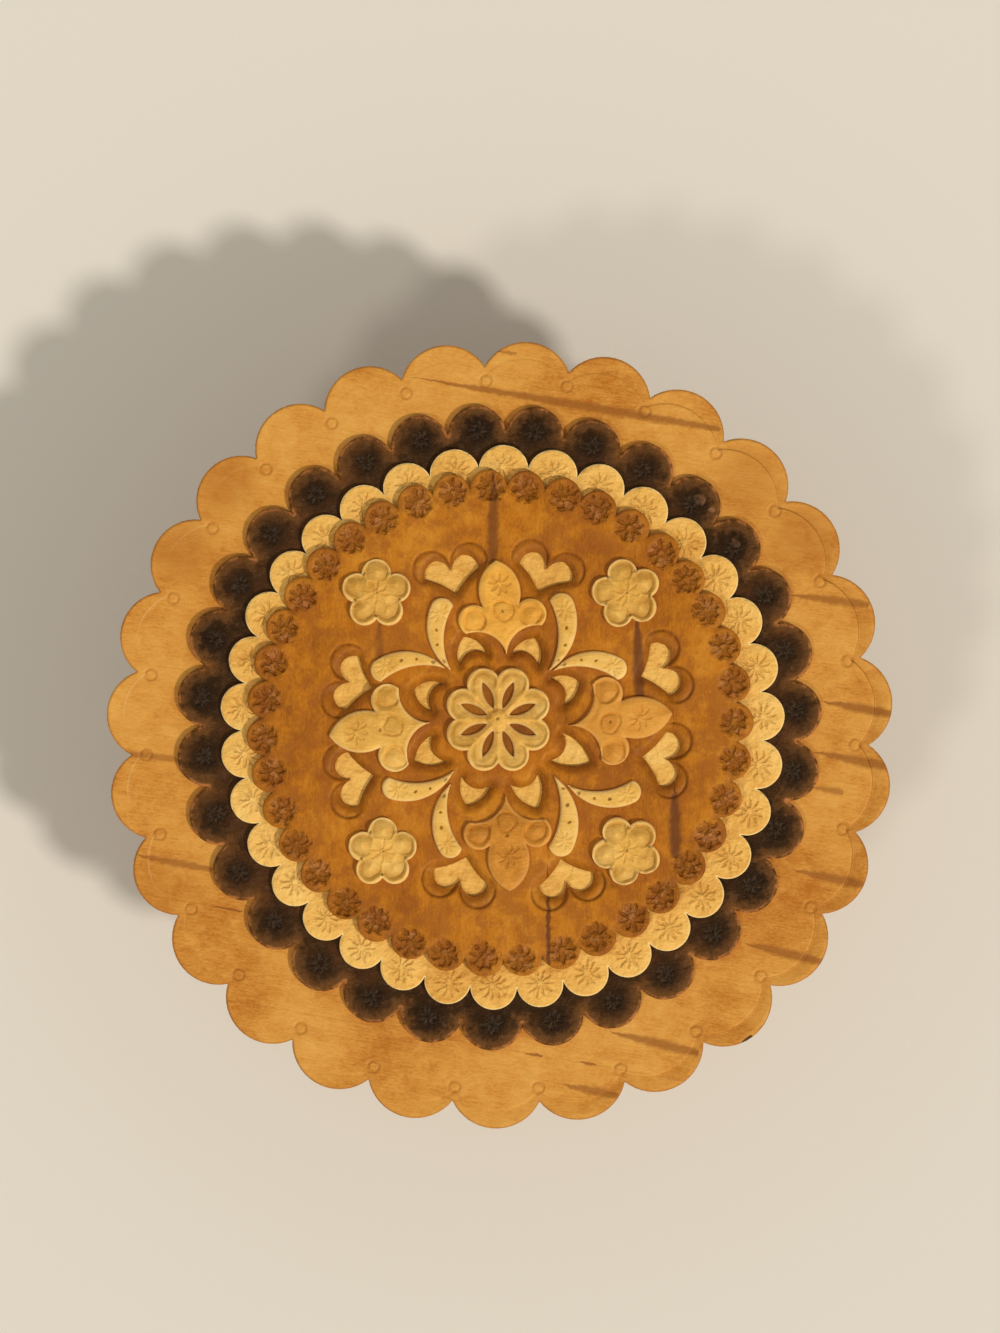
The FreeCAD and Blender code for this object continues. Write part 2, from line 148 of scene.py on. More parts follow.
def bark_finish(
    name,
    shade,
    tone,
    glow,
    roughness,
    wrapped=0.0,
    grain_turn=0.0,
    flat=True,
    fibre_share=0.22,
    gloss=0.3,
    shine="#FFE6C4",
):
    """Birch bark: fine fibres that ran round the trunk, soft mottling and a waxy surface.

    shade, tone and glow are its dark, middle and light colours, and shine tints its sheen. wrapped is
    the radius in mm of a wall that the bark is bent round, so that its fibres follow the wall. flat is
    False on a wall, whose cut edges face up and down instead of sideways.
    """
    fibre_long = 3.2
    fibre_wide = 0.3
    patch = 5.0
    pore = 0.45
    tone_reach = 26.0
    layer = 0.25
    fibre_rise = 0.05
    pore_rise = 0.07
    patch_rise = 0.3
    material = bpy.data.materials.new(name)
    material.use_nodes = True
    tree = material.node_tree
    shader = tree.nodes["Principled BSDF"]
    shader.inputs["Roughness"].default_value = roughness
    shader.inputs["IOR"].default_value = 1.45
    shader.inputs["Specular IOR Level"].default_value = gloss
    shader.inputs["Specular Tint"].default_value = colour(shine)
    texture = add(tree, "TexCoord")
    turn = (0, 0, math.radians(grain_turn))
    place = add(tree, "Mapping", {0: texture.outputs["Object"], 2: turn, 3: (1000,) * 3})
    if wrapped:
        axes = add(tree, "SeparateXYZ", [place])
        around = add(tree, "Math", [axes.outputs[0], axes.outputs[1]], operation="ARCTAN2")
        girth = add(tree, "Math", [around, wrapped], operation="MULTIPLY")
        place = add(tree, "CombineXYZ", [girth, axes.outputs[2]])
    # How each noise is scaled, with its detail, roughness and distortion.
    noises = {
        "fibre": ((1 / fibre_long, 1 / fibre_wide, 1 / fibre_wide), 3.0, 0.6, 0.0),
        "patches": ((1 / patch, 1.35 / patch, 1 / patch), 6.0, 0.62, 0.4),
        "pores": ((0.5 / pore, 1 / pore, 1 / pore), 3.0, 0.7, 0.0),
        "tones": ((1 / tone_reach,) * 3, 1.0, 0.5, 0.0),
    }
    for noise, (scale, detail, rough, bent) in noises.items():
        scaled = add(tree, "Mapping", {0: place, 3: scale})
        sizes = {"Scale": 1.0, "Detail": detail, "Roughness": rough, "Distortion": bent}
        add(tree, "TexNoise", {0: scaled, **sizes}).name = noise
    fibre, patches, pores, tones = [tree.nodes[noise] for noise in noises]
    body = add(tree, "Mix", {0: fibre_share, 2: patches, 3: fibre})
    fine = add(tree, "Mix", {0: 0.3, 2: body, 3: pores})
    lean = add(tree, "Math", [tones, 0.5, -0.25], operation="MULTIPLY_ADD")
    depth = add(tree, "Math", [fine, lean], operation="ADD")
    tint = add(tree, "ValToRGB", [depth])
    tint.color_ramp.elements[0].position = 0.30
    tint.color_ramp.elements[0].color = colour(shade)
    tint.color_ramp.elements[1].position = 0.70
    tint.color_ramp.elements[1].color = colour(glow)
    tint.color_ramp.elements.new(0.50).color = colour(tone)
    tree.links.new(tint.outputs["Color"], shader.inputs["Base Color"])
    # The bump node takes its height in mm.
    ridges = add(tree, "Math", [fibre, fibre_rise], operation="MULTIPLY")
    pits = add(tree, "Math", [pores, pore_rise, ridges], operation="MULTIPLY_ADD")
    height = add(tree, "Math", [patches, patch_rise, pits], operation="MULTIPLY_ADD")
    relief = add(tree, "Bump", {"Height": height, "Strength": 1.0, "Distance": 0.001})
    relief.name = "relief"
    tree.links.new(relief.outputs["Normal"], shader.inputs["Normal"])
    # Cut edges show the thin layers that bark grows in.
    facing = add(tree, "SeparateXYZ", [texture.outputs["Normal"]])
    tilt = add(tree, "Math", [facing.outputs[2]], operation="ABSOLUTE")
    if not flat:
        tilt = add(tree, "Math", [1.0, tilt], operation="SUBTRACT")
    steep = {"From Min": 0.15, "From Max": 0.45, "To Min": 1.0, "To Max": 0.0}
    cut = add(tree, "MapRange", {"Value": tilt, **steep})
    layers = add(tree, "Mapping", {0: texture.outputs["Object"], 3: (150, 150, 1000 / layer)})
    ragged = add(tree, "TexNoise", {0: layers, "Scale": 1.0, "Detail": 3.0})
    edge = add(tree, "Mix", {0: ragged, 6: colour(shade), 7: colour(tone)}, data_type="RGBA")
    stain(material, cut, edge.outputs[2])
    # Tools leave their pressed lines and dots darker. The same mark carries painted shade in the grooves and
    # slots and round the ornaments, and darkens the bark towards each opening.
    mark = add(tree, "Attribute", attribute_name="mark").outputs["Fac"]
    dark = [channel * 0.22 for channel in colour(shade)[:3]] + [1.0]
    stain(material, mark, dark, share=0.75)
    return material


def stain(material, mask, tint=None, press=0.0, share=1.0):
    """Tints a bark finish by a share of a mask, and presses the bark in there by so many mm."""
    tree = material.node_tree
    shader = tree.nodes["Principled BSDF"]
    if share != 1.0:
        mask = add(tree, "Math", [mask, share], operation="MULTIPLY")
    if tint is not None:
        if isinstance(tint, str):
            tint = colour(tint)
        under = shader.inputs["Base Color"].links[0].from_socket
        mixed = add(tree, "Mix", {0: mask, 6: under, 7: tint}, data_type="RGBA")
        tree.links.new(mixed.outputs[2], shader.inputs["Base Color"])
    if press:
        relief = tree.nodes["relief"].inputs["Height"]
        above = relief.links[0].from_socket
        lowered = add(tree, "Math", [mask, -press, above], operation="MULTIPLY_ADD")
        tree.links.new(lowered.outputs[0], relief)


def fade(tree, value, near, far):
    """Mask that is 1 where a value is below near and fades to 0 at far."""
    limits = {"Value": value, "From Min": near, "From Max": far, "To Min": 1.0, "To Max": 0.0}
    return add(tree, "MapRange", limits, interpolation_type="SMOOTHSTEP")


def azimuth_of(tree, place):
    """Azimuth of a place, clockwise from +Y."""
    axes = add(tree, "SeparateXYZ", [place])
    return add(tree, "Math", [axes.outputs[0], axes.outputs[1]], operation="ARCTAN2")


def rim_of(material):
    """Distance from the cut edge in mm, as a value of a bark finish."""
    return add(material.node_tree, "Attribute", attribute_name="edge").outputs["Fac"]


def near_rim(material, near, far):
    """Mask of the rim, from 1 at one distance from the cut edge to 0 at another."""
    return fade(material.node_tree, rim_of(material), near, far)


def outline_loops(node):
    """Outlines of a flat CAD node in mm, anticlockwise: the outer one, and then its openings."""
    form = bmesh.new()
    form.from_mesh(nodes[node].data)
    bmesh.ops.remove_doubles(form, verts=form.verts, dist=1e-6)
    beside = {}
    for edge in form.edges:
        tilts = sorted(face.normal.z for face in edge.link_faces)
        if len(tilts) == 2 and tilts[1] > 0.9 and abs(tilts[0]) < 0.5:
            first, last = edge.verts
            beside.setdefault(first, []).append(last)
            beside.setdefault(last, []).append(first)
    loops = []
    while beside:
        start = next(iter(beside))
        loop = [start]
        step = beside[start][0]
        while step is not start:
            before = loop[-1]
            loop.append(step)
            step = next(vertex for vertex in beside[step] if vertex is not before)
        for vertex in loop:
            del beside[vertex]
        points = np.array([vertex.co.xy for vertex in loop]) * 1000
        after = np.roll(points, -1, axis=0)
        area = np.sum(points[:, 0] * after[:, 1] - points[:, 1] * after[:, 0]) / 2
        loops.append((abs(area), points if area > 0 else points[::-1]))
    form.free()
    return [points for area, points in sorted(loops, key=lambda entry: -entry[0])]


def distance_to(loops):
    """Function that gives how far each point lies from the outlines, in mm."""
    between = 0.06
    samples = []
    for loop in loops:
        for start, end in zip(loop, np.roll(loop, -1, axis=0)):
            count = max(1, int(np.linalg.norm(end - start) / between))
            samples += [start + (end - start) * part / count for part in range(count)]
    near = KDTree(len(samples))
    for index, (x, y) in enumerate(samples):
        near.insert((x, y, 0), index)
    near.balance()
    return lambda points: np.array([near.find((x, y, 0))[2] for x, y in points])


def honeycomb(low, high, step):
    """Staggered points that fill a box, all about one step apart."""
    rows = np.arange(low[1], high[1], step * math.sqrt(3) / 2)
    columns = np.arange(low[0], high[0], step)
    return np.array([(x + step / 2 * (row % 2), y) for row, y in enumerate(rows) for x in columns])


def bark_sheet(
    name, node, step, near=99.0, rim_near=0.0, relief=None, edge_round=0.25, foot=(0, 0), heading=0.0
):
    """Sheet of bark on the outline of its CAD node, with points one step apart that hold its relief.

    Further in than near from every outline, and than rim_near from the outer one, it is plain and its
    points lie far apart. relief takes each point's place across and along the heading from the foot, and
    its distances from the outer edge and from the nearest opening, all in mm. It gives the rise of the
    surface and how much darker it is left: the tools' marks, and painted shade. However deep that goes,
    the sheet keeps its least thickness.
    """
    plain_step = 5.0
    least_thickness = 0.3
    far_off = 99.0
    sharp_fold = 1.0
    loops = outline_loops(node)
    low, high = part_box(node)
    corner, far_corner = np.array(low.xy) * 1000, np.array(high.xy) * 1000
    rim_distance = distance_to(loops[:1])
    cut_distance = distance_to(loops[1:]) if len(loops) > 1 else lambda points: np.full(len(points), far_off)
    # Points: the outlines, the same outlines moved inwards, a fine honeycomb and a coarse one.
    groups = [*loops]
    for index, loop in enumerate(loops):
        along = np.roll(loop, -1, axis=0) - np.roll(loop, 1, axis=0)
        along /= np.linalg.norm(along, axis=1)[:, None]
        side = 1 if index == 0 else -1
        groups.append(loop + side * edge_round * np.stack([-along[:, 1], along[:, 0]], axis=1))
    outline_count = sum(len(loop) for loop in loops)
    inset_count = outline_count * 2
    groups += [honeycomb(corner, far_corner, step), honeycomb(corner, far_corner, plain_step)]
    points = np.concatenate(groups)
    rim, cut = rim_distance(points), cut_distance(points)
    edge = np.minimum(rim, cut)
    number = np.arange(len(points))
    fine_end = inset_count + len(groups[-2])
    worked = (edge < near) | (rim < rim_near)
    fine = (number >= inset_count) & (number < fine_end) & (edge > edge_round + 0.5 * step) & worked
    plain = (number >= fine_end) & (edge > near + 0.5 * step) & (rim > rim_near + 0.5 * step)
    inset = (number >= outline_count) & (number < inset_count) & (edge > 0.8 * edge_round)
    kept = (number < outline_count) | inset | fine | plain
    points, rim, cut = points[kept], rim[kept], cut[kept]
    starts = np.cumsum([0] + [len(loop) for loop in loops])
    rings = [list(range(start, end)) for start, end in zip(starts, starts[1:])]
    flat_points = [Vector(point) for point in points]
    _, _, faces, sources, _, origins = delaunay_2d_cdt(flat_points, [], rings, 1, 1e-6)
    # A face inside an opening has that opening's ring among its origins.
    faces = [face for face, origin in zip(faces, origins) if origin == [0]]
    first = [found[0] for found in sources]
    moved = {source: index for index, found in enumerate(sources) for source in found}
    rings = [[moved[index] for index in ring] for ring in rings]
    points, rim, cut = points[first], rim[first], cut[first]
    edge = np.minimum(rim, cut)
    ahead = np.array([math.sin(math.radians(heading)), math.cos(math.radians(heading))])
    right = np.array([ahead[1], -ahead[0]])
    own = np.stack([(points - foot) @ right, (points - foot) @ ahead], axis=1)
    count = len(points)
    rise, mark = relief(own, rim, cut) if relief else (np.zeros(count), np.zeros(count))
    heights = high.z * 1000 - edge_round * np.clip(1 - edge / edge_round, 0, 1) ** 2 + rise
    heights = np.maximum(heights, low.z * 1000 + least_thickness)
    lower = {}
    vertices = [(x, y, z) for (x, y), z in zip(points, heights)]
    for ring in rings:
        for index in ring:
            lower[index] = len(vertices)
            vertices.append((*points[index], low.z * 1000))
    walls = []
    for index, ring in enumerate(rings):
        turned = ring if index == 0 else ring[::-1]
        for start, end in zip(turned, turned[1:] + turned[:1]):
            walls.append((start, lower[start], lower[end], end))
    outline = [Vector(points[index]) for ring in rings for index in ring]
    order = [lower[index] for ring in rings for index in ring]
    lengths = np.cumsum([0] + [len(ring) for ring in rings])
    under_rings = [list(range(start, end)) for start, end in zip(lengths, lengths[1:])]
    _, _, under, under_sources, _, under_origins = delaunay_2d_cdt(outline, [], under_rings, 1, 1e-6)
    under = [face for face, origin in zip(under, under_origins) if origin == [0]]
    bottoms = [tuple(order[under_sources[corner][0]] for corner in reversed(face)) for face in under]
    mesh = bpy.data.meshes.new(name)
    mesh.from_pydata([Vector(vertex) / 1000 for vertex in vertices], [], [*faces, *walls, *bottoms])
    foot_count = len(vertices) - count
    edges = mesh.attributes.new("edge", "FLOAT", "POINT")
    edges.data.foreach_set("value", np.concatenate([edge, np.zeros(foot_count)]))
    marks = mesh.attributes.new("mark", "FLOAT", "POINT")
    marks.data.foreach_set("value", np.concatenate([mark, np.zeros(foot_count)]))
    form = bmesh.new()
    form.from_mesh(mesh)
    bmesh.ops.delete(form, geom=[vertex for vertex in form.verts if not vertex.link_faces], context="VERTS")
    for face in form.faces:
        face.smooth = True
    for line in form.edges:
        if len(line.link_faces) == 2 and line.calc_face_angle() > sharp_fold:
            line.smooth = False
    form.to_mesh(mesh)
    form.free()
    sheet = bpy.data.objects.new(name, mesh)
    scene.collection.objects.link(sheet)
    return sheet


def lobe_place(tree, place, lobes, start, drift, drift_azimuth, shift=0.0):
    """Place on the nearest lobe of a scalloped disc: across it, outwards from the centre, and its number.

    The punch was stepped round by eye, so the lobes drift ahead of an even pitch and behind it. A shift
    of half a step gives the place at the nearest notch.
    """
    lag = add(tree, "Math", [azimuth_of(tree, place), start], operation="SUBTRACT")
    phase = add(tree, "Math", [lag, drift_azimuth], operation="SUBTRACT")
    swing = add(tree, "Math", [phase], operation="COSINE")
    ahead = add(tree, "Math", [swing, drift], operation="MULTIPLY")
    even = add(tree, "Math", [lag, ahead], operation="SUBTRACT")
    pitch = add(tree, "Math", [2 * math.pi, lobes], operation="DIVIDE")
    steps = add(tree, "Math", [even, pitch], operation="DIVIDE")
    shifted = add(tree, "Math", [steps, shift], operation="SUBTRACT")
    number = add(tree, "Math", [shifted], operation="ROUND")
    part = add(tree, "Math", [shifted, number], operation="SUBTRACT")
    angle = add(tree, "Math", [part, pitch], operation="MULTIPLY")
    level = add(tree, "VectorMath", [place, (1, 1, 0)], operation="MULTIPLY")
    reach = add(tree, "VectorMath", [level], operation="LENGTH").outputs["Value"]
    sine = add(tree, "Math", [angle], operation="SINE")
    cosine = add(tree, "Math", [angle], operation="COSINE")
    across = add(tree, "Math", [reach, sine], operation="MULTIPLY")
    outwards = add(tree, "Math", [reach, cosine], operation="MULTIPLY")
    return across, outwards, number


def from_punch(tree, across, outwards, reach):
    """Distance from the middle of a punch that stands at a reach from the disc's centre."""
    beyond = add(tree, "Math", [outwards, reach], operation="SUBTRACT")
    offset = add(tree, "CombineXYZ", [across, beyond])
    return add(tree, "VectorMath", [offset], operation="LENGTH").outputs["Value"]


def star_punch_group(kind):
    """Mask of a star punch about the origin of a place in mm: rays that swell between two radii."""
    tree = bpy.data.node_groups.new("star punch", kind)
    tree.interface.new_socket("Place", in_out="INPUT", socket_type="NodeSocketVector")
    for size in ("Rays", "Inner", "Reach", "Width"):
        tree.interface.new_socket(size, in_out="INPUT", socket_type="NodeSocketFloat")
    tree.interface.new_socket("Mark", in_out="OUTPUT", socket_type="NodeSocketFloat")
    given = add(tree, "NodeGroupInput").outputs
    radius = add(tree, "VectorMath", [given["Place"]], operation="LENGTH").outputs["Value"]
    half = add(tree, "Math", [math.pi, given["Rays"]], operation="DIVIDE")
    angle = azimuth_of(tree, given["Place"])
    fold = add(tree, "Math", [angle, half], operation="PINGPONG")
    sine = add(tree, "Math", [fold], operation="SINE")
    off = add(tree, "Math", [sine, radius], operation="MULTIPLY")
    span = {"From Min": given["Inner"], "From Max": given["Reach"]}
    along = add(tree, "MapRange", {"Value": radius, **span})
    rest = add(tree, "Math", [1.0, along], operation="SUBTRACT")
    swell = add(tree, "Math", [along, rest], operation="MULTIPLY")
    full = add(tree, "Math", [swell, 4.0], operation="MULTIPLY")
    width = add(tree, "Math", [full, given["Width"]], operation="MULTIPLY")
    soft = add(tree, "Math", [width, 0.3], operation="MULTIPLY")
    mark = fade(tree, off, soft, width)
    gate = add(tree, "Math", [full, 0.25], operation="GREATER_THAN")
    shown = add(tree, "Math", [mark, gate], operation="MULTIPLY")
    add(tree, "NodeGroupOutput", [shown])
    return tree


# The mesh and the finish of a sheet take the same stars, each from its own kind of node tree.
star_punches = {kind: star_punch_group(kind) for kind in ("GeometryNodeTree", "ShaderNodeTree")}


def struck_star(tree, place, offset, number, rays, inner, outer, width, rough=1.0):
    """Mask of a star punch, and the distance from it.

    Its number decides how it is turned and how far it slips off its place, and it is rough, because no
    two are struck alike.
    """
    middle = (0.5, 0.5, 0.5)
    slip_size = (0.8, 0.8, 0.8)
    crumbs = add(tree, "TexNoise", {"Vector": place, "Scale": 0.9, "Detail": 3.0})
    wobble = add(tree, "VectorMath", [crumbs.outputs["Color"], middle], operation="SUBTRACT")
    rougher = add(tree, "VectorMath", {0: wobble, "Scale": rough}, operation="SCALE")
    bent = add(tree, "VectorMath", [rougher, offset], operation="ADD")
    luck = add(tree, "TexWhiteNoise", {"W": number}, noise_dimensions="1D")
    slip = add(tree, "VectorMath", [luck.outputs["Color"], middle], operation="SUBTRACT")
    struck = add(tree, "VectorMath", [slip, slip_size, bent], operation="MULTIPLY_ADD")
    flat = add(tree, "VectorMath", [struck, (1.0, 1.0, 0.0)], operation="MULTIPLY")
    turn = {"Vector": flat, "Angle": luck.outputs["Value"]}
    turned = add(tree, "VectorRotate", turn, rotation_type="Z_AXIS")
    sizes = {"Place": turned, "Rays": rays, "Inner": inner, "Reach": outer, "Width": width}
    group_kind = tree.bl_idname.replace("Tree", "Group")
    punch = add(tree, group_kind, sizes, node_tree=star_punches[tree.bl_idname])
    distance = add(tree, "VectorMath", [flat], operation="LENGTH").outputs["Value"]
    return punch.outputs[0], distance


def gouge_stroke(tree, place, across, outwards, cut, slope, wall, lean, lean_azimuth):
    """Stroke of the gouge on each lobe, by the place on it.

    cut gives the reach and radius of its line. The stroke's profile has a steep slope inside that line
    and a long one outside, and its force leans towards one side of the sheet.
    """
    reach = from_punch(tree, across, outwards, cut[0])
    beyond = add(tree, "Math", [reach, cut[1]], operation="SUBTRACT")
    run = add(tree, "Math", [beyond, slope], operation="DIVIDE")
    inside = add(tree, "Math", [run, 1.0], operation="ADD")
    climb = add(tree, "Math", [beyond, wall], operation="DIVIDE")
    outside = add(tree, "Math", [1.0, climb], operation="SUBTRACT")
    profile = add(tree, "Math", [inside, outside], operation="MINIMUM", use_clamp=True)
    azimuth = azimuth_of(tree, place)
    turned = add(tree, "Math", [azimuth, lean_azimuth], operation="SUBTRACT")
    side = add(tree, "Math", [turned], operation="COSINE")
    leaning = add(tree, "Math", [side, lean, 1.0], operation="MULTIPLY_ADD")
    force = add(tree, "Math", [leaning, 2.0], operation="POWER")
    return beyond, profile, force, azimuth


# The sizes that each tool of the lobe press takes. Every layer below gives its own in this order.
press_sizes = {
    "order": ("Lobes", "Start", "Drift", "Drift azimuth"),
    "centre": ("Centre X", "Centre Y"),
    "cut": ("Cut reach", "Cut radius", "Cut depth", "Cut slope", "Cut wall"),
    "lean": ("Lean", "Lean azimuth"),
    "ring": ("Ring reach", "Ring radius", "Ring width", "Ring depth"),
    "crown": ("Crown reach", "Crown radius", "Crown drop"),
    "star": ("Star reach", "Star rays", "Star inner", "Star outer", "Star width", "Star rough", "Star depth"),
}


def lobe_press_tree():
    """Geometry Nodes tree that presses and stamps every lobe of a scalloped sheet. Its sizes are in mm."""
    divisors = ("Cut slope", "Cut wall", "Ring width", "Crown radius", "Star rays", "Star outer")
    tree = bpy.data.node_groups.new("lobe press", "GeometryNodeTree")
    tree.interface.new_socket("Geometry", in_out="INPUT", socket_type="NodeSocketGeometry")
    for size in ("Middle level", *(size for sizes in press_sizes.values() for size in sizes)):
        socket = tree.interface.new_socket(size, in_out="INPUT", socket_type="NodeSocketFloat")
        socket.default_value = 1.0 if size in divisors else 0.0
    tree.interface.new_socket("Material", in_out="INPUT", socket_type="NodeSocketMaterial")
    tree.interface.new_socket("Geometry", in_out="OUTPUT", socket_type="NodeSocketGeometry")
    given = add(tree, "NodeGroupInput").outputs
    position = add(tree, "GeometryNodeInputPosition")
    scaled = add(tree, "VectorMath", {0: position, "Scale": 1000.0}, operation="SCALE")
    centre = add(tree, "CombineXYZ", [given["Centre X"], given["Centre Y"]])
    place = add(tree, "VectorMath", [scaled, centre], operation="SUBTRACT")
    order = [given[size] for size in press_sizes["order"]]
    across, outwards, number = lobe_place(tree, place, *order)
    # The gouge leaves its cut.
    reach, radius, deepest, slope, wall = [given[size] for size in press_sizes["cut"]]
    lean = [given[size] for size in press_sizes["lean"]]
    stroke = gouge_stroke(tree, place, across, outwards, (reach, radius), slope, wall, *lean)
    _, profile, force, _ = stroke
    depth = add(tree, "Math", [force, deepest], operation="MULTIPLY")
    sunk = add(tree, "Math", [profile, depth], operation="MULTIPLY")
    # The tube punch leaves a ring at each notch.
    beside, forward, _ = lobe_place(tree, place, *order, shift=0.5)
    punch = from_punch(tree, beside, forward, given["Ring reach"])
    off_ring = add(tree, "Math", [punch, given["Ring radius"]], operation="SUBTRACT")
    off = add(tree, "Math", [off_ring], operation="ABSOLUTE")
    share = add(tree, "Math", [off, given["Ring width"]], operation="DIVIDE")
    trace = add(tree, "Math", [1.0, share], operation="SUBTRACT", use_clamp=True)
    ringed = add(tree, "Math", [trace, given["Ring depth"]], operation="MULTIPLY")
    # The lobe itself is crowned.
    crown = from_punch(tree, across, outwards, given["Crown reach"])
    way = add(tree, "Math", [crown, given["Crown radius"]], operation="DIVIDE", use_clamp=True)
    squared = add(tree, "Math", [way, way], operation="MULTIPLY")
    dropped = add(tree, "Math", [squared, given["Crown drop"]], operation="MULTIPLY")
    down = add(tree, "Math", [sunk, ringed], operation="ADD")
    deeper = add(tree, "Math", [down, dropped], operation="ADD")
    # The star punch strikes near its middle.
    past = add(tree, "Math", [outwards, given["Star reach"]], operation="SUBTRACT")
    offset = add(tree, "CombineXYZ", [across, past])
    star, _ = struck_star(tree, scaled, offset, number, *[given[size] for size in press_sizes["star"][1:-1]])
    stamped = add(tree, "Math", [star, given["Star depth"], deeper], operation="MULTIPLY_ADD")
    # Only the upper side of the sheet takes these marks.
    metres = add(tree, "Math", [stamped, -0.001], operation="MULTIPLY")
    shift = add(tree, "CombineXYZ", {2: metres})
    level = add(tree, "SeparateXYZ", [scaled]).outputs[2]
    upper = add(tree, "Math", [level, given["Middle level"]], operation="GREATER_THAN")
    pressed = {"Geometry": given["Geometry"], "Selection": upper, "Offset": shift}
    moved = add(tree, "GeometryNodeSetPosition", pressed)
    # Each tool's line and ring are painted darker: the tool's own mark, with painted shade down in its
    # groove.
    line = add(tree, "Math", [profile, 0.5, -0.2], operation="MULTIPLY_ADD", use_clamp=True)
    drawn = add(tree, "Math", [line, depth], operation="MULTIPLY")
    circle = add(tree, "Math", [trace, 0.25], operation="MULTIPLY")
    ink = add(tree, "Math", [circle, drawn], operation="MAXIMUM")
    above = add(tree, "Math", [ink, upper], operation="MULTIPLY")
    known = add(tree, "GeometryNodeInputNamedAttribute", {"Name": "mark"}, data_type="FLOAT")
    total = add(tree, "Math", [above, known], operation="ADD", use_clamp=True)
    named = {"Geometry": moved, "Name": "mark", "Value": total}
    inked = add(tree, "GeometryNodeStoreNamedAttribute", named, data_type="FLOAT", domain="POINT")
    real = add(tree, "GeometryNodeRealizeInstances", [inked])
    finished = add(tree, "GeometryNodeSetMaterial", {"Geometry": real, "Material": given["Material"]})
    add(tree, "NodeGroupOutput", [finished])
    return tree


lobe_press = lobe_press_tree()


def press_lobes(sheet, node, finish, **tools):
    """Runs the lobe press over a sheet, with the sizes of the tools that it takes, and keeps the result."""
    low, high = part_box(node)
    sizes = {"Middle level": (low.z + high.z) / 2 * 1000, "Material": finish}
    for tool, values in tools.items():
        sizes |= zip(press_sizes[tool], values)
    modifier = sheet.modifiers.new("lobe press", "NODES")
    modifier.node_group = lobe_press
    for item in lobe_press.interface.items_tree:
        if item.in_out == "INPUT" and item.name != "Geometry":
            modifier[item.identifier] = sizes[item.name] if item.name in sizes else item.default_value
    depsgraph = bpy.context.evaluated_depsgraph_get()
    mesh = bpy.data.meshes.new_from_object(
        sheet.evaluated_get(depsgraph), preserve_all_data_layers=True, depsgraph=depsgraph
    )
    sheet.modifiers.clear()
    sheet.data = mesh


def gouge(tip, side, lobes):
    """Reach of the centre and radius of a gouge cut, from where it tops and where it meets the notch line."""
    half = math.pi / lobes
    centre = (tip**2 - side**2) / (2 * (tip - side * math.cos(half)))
    return centre, tip - centre


# Waxed amber bark: the wax deepens its orange and leaves a soft sheen.
amber_bark = bark_finish("waxed amber birch bark", "#AE6A22", "#CF8B38", "#DFA24B", 0.42)
base_plate = bark_sheet("base_plate_bark", "base_plate", 0.6, near=9.0)
base_gouge = gouge(base_tip - base_cut_inset, base_tip - base_cut_notch_inset, base_order[0])
press_lobes(base_plate, "base_plate", amber_bark, order=base_order, cut=(*base_gouge, *base_cut))
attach(base_plate, "root")
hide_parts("base_plate")


def finish_node(node, material):
    """Gives a CAD node, whose own shape is right, its finish."""
    for slot in nodes[node].material_slots:
        slot.material = material


# Floor of the box: a planed softwood disc that closes the wall from below, glued to the base plate,
# with a lining of smooth bark on top of it.

# Planed softwood: dry and matt, with the grain drawn strongly.
cedar_board = bark_finish("planed softwood board", "#A06F38", "#C2935A", "#D2AA72", 0.6, fibre_share=0.8)
# Smooth inner bark: even, satin and pinkish tan.
smooth_shades = ("#A2672F", "#C48B4A", "#D6A566", 0.5)
smooth_bark = bark_finish("smooth inner birch bark", *smooth_shades)
finish_node("floor_disc", cedar_board)
finish_node("floor_lining", smooth_bark)


# Wall of the box: a strip of bark closed into a ring, a pale sleeve round it, and a brown wrap with
# hearts and leaves cut through it, which show the sleeve. All are glued, and bound at both ends.
wall_radius = 60.0
wall_finishes = {
    # Smooth inner bark, as on the floor.
    "inner_wall": ("smooth bark of the inner wall", *smooth_shades),
    # Smooth yellow bark: pale, so that the openings read bright.
    "pale_sleeve": ("pale bark of the sleeve", "#C98C38", "#E6AE50", "#F0C068", 0.5),
    # Stained bark: brown and a little waxy.
    "outer_wrap": ("stained brown bark of the wrap", "#7C420C", "#A55D18", "#B97026", 0.45),
}
for node, finish in wall_finishes.items():
    finish_node(node, bark_finish(*finish, wrapped=wall_radius, flat=False))


# Bands at the foot and the mouth of the wall: scalloped strips of scorched bark with a shorter pale one
# over each. They bind the wrap and stiffen the ends of the wall.
band_radius = 64.4
band_star_inner = 0.3
# Each band's star punch: how far it stands from the end of the wall, its rays, reach and width.
dark_band_punch = (11.9, 8.0, 2.2, 0.4)
pale_band_punch = (4.4, 10.0, 3.0, 0.4)
dark_band_lobes = 32
pale_band_lobes = 39
wall_low, wall_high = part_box("outer_wrap")
wall_middle = (wall_low.z + wall_high.z) / 2 * 1000
wall_half = (wall_high.z - wall_low.z) / 2 * 1000


def millimetres(tree):
    """Place on the object in mm."""
    texture = add(tree, "TexCoord")
    return add(tree, "VectorMath", {0: texture.outputs["Object"], "Scale": 1000.0}, operation="SCALE")


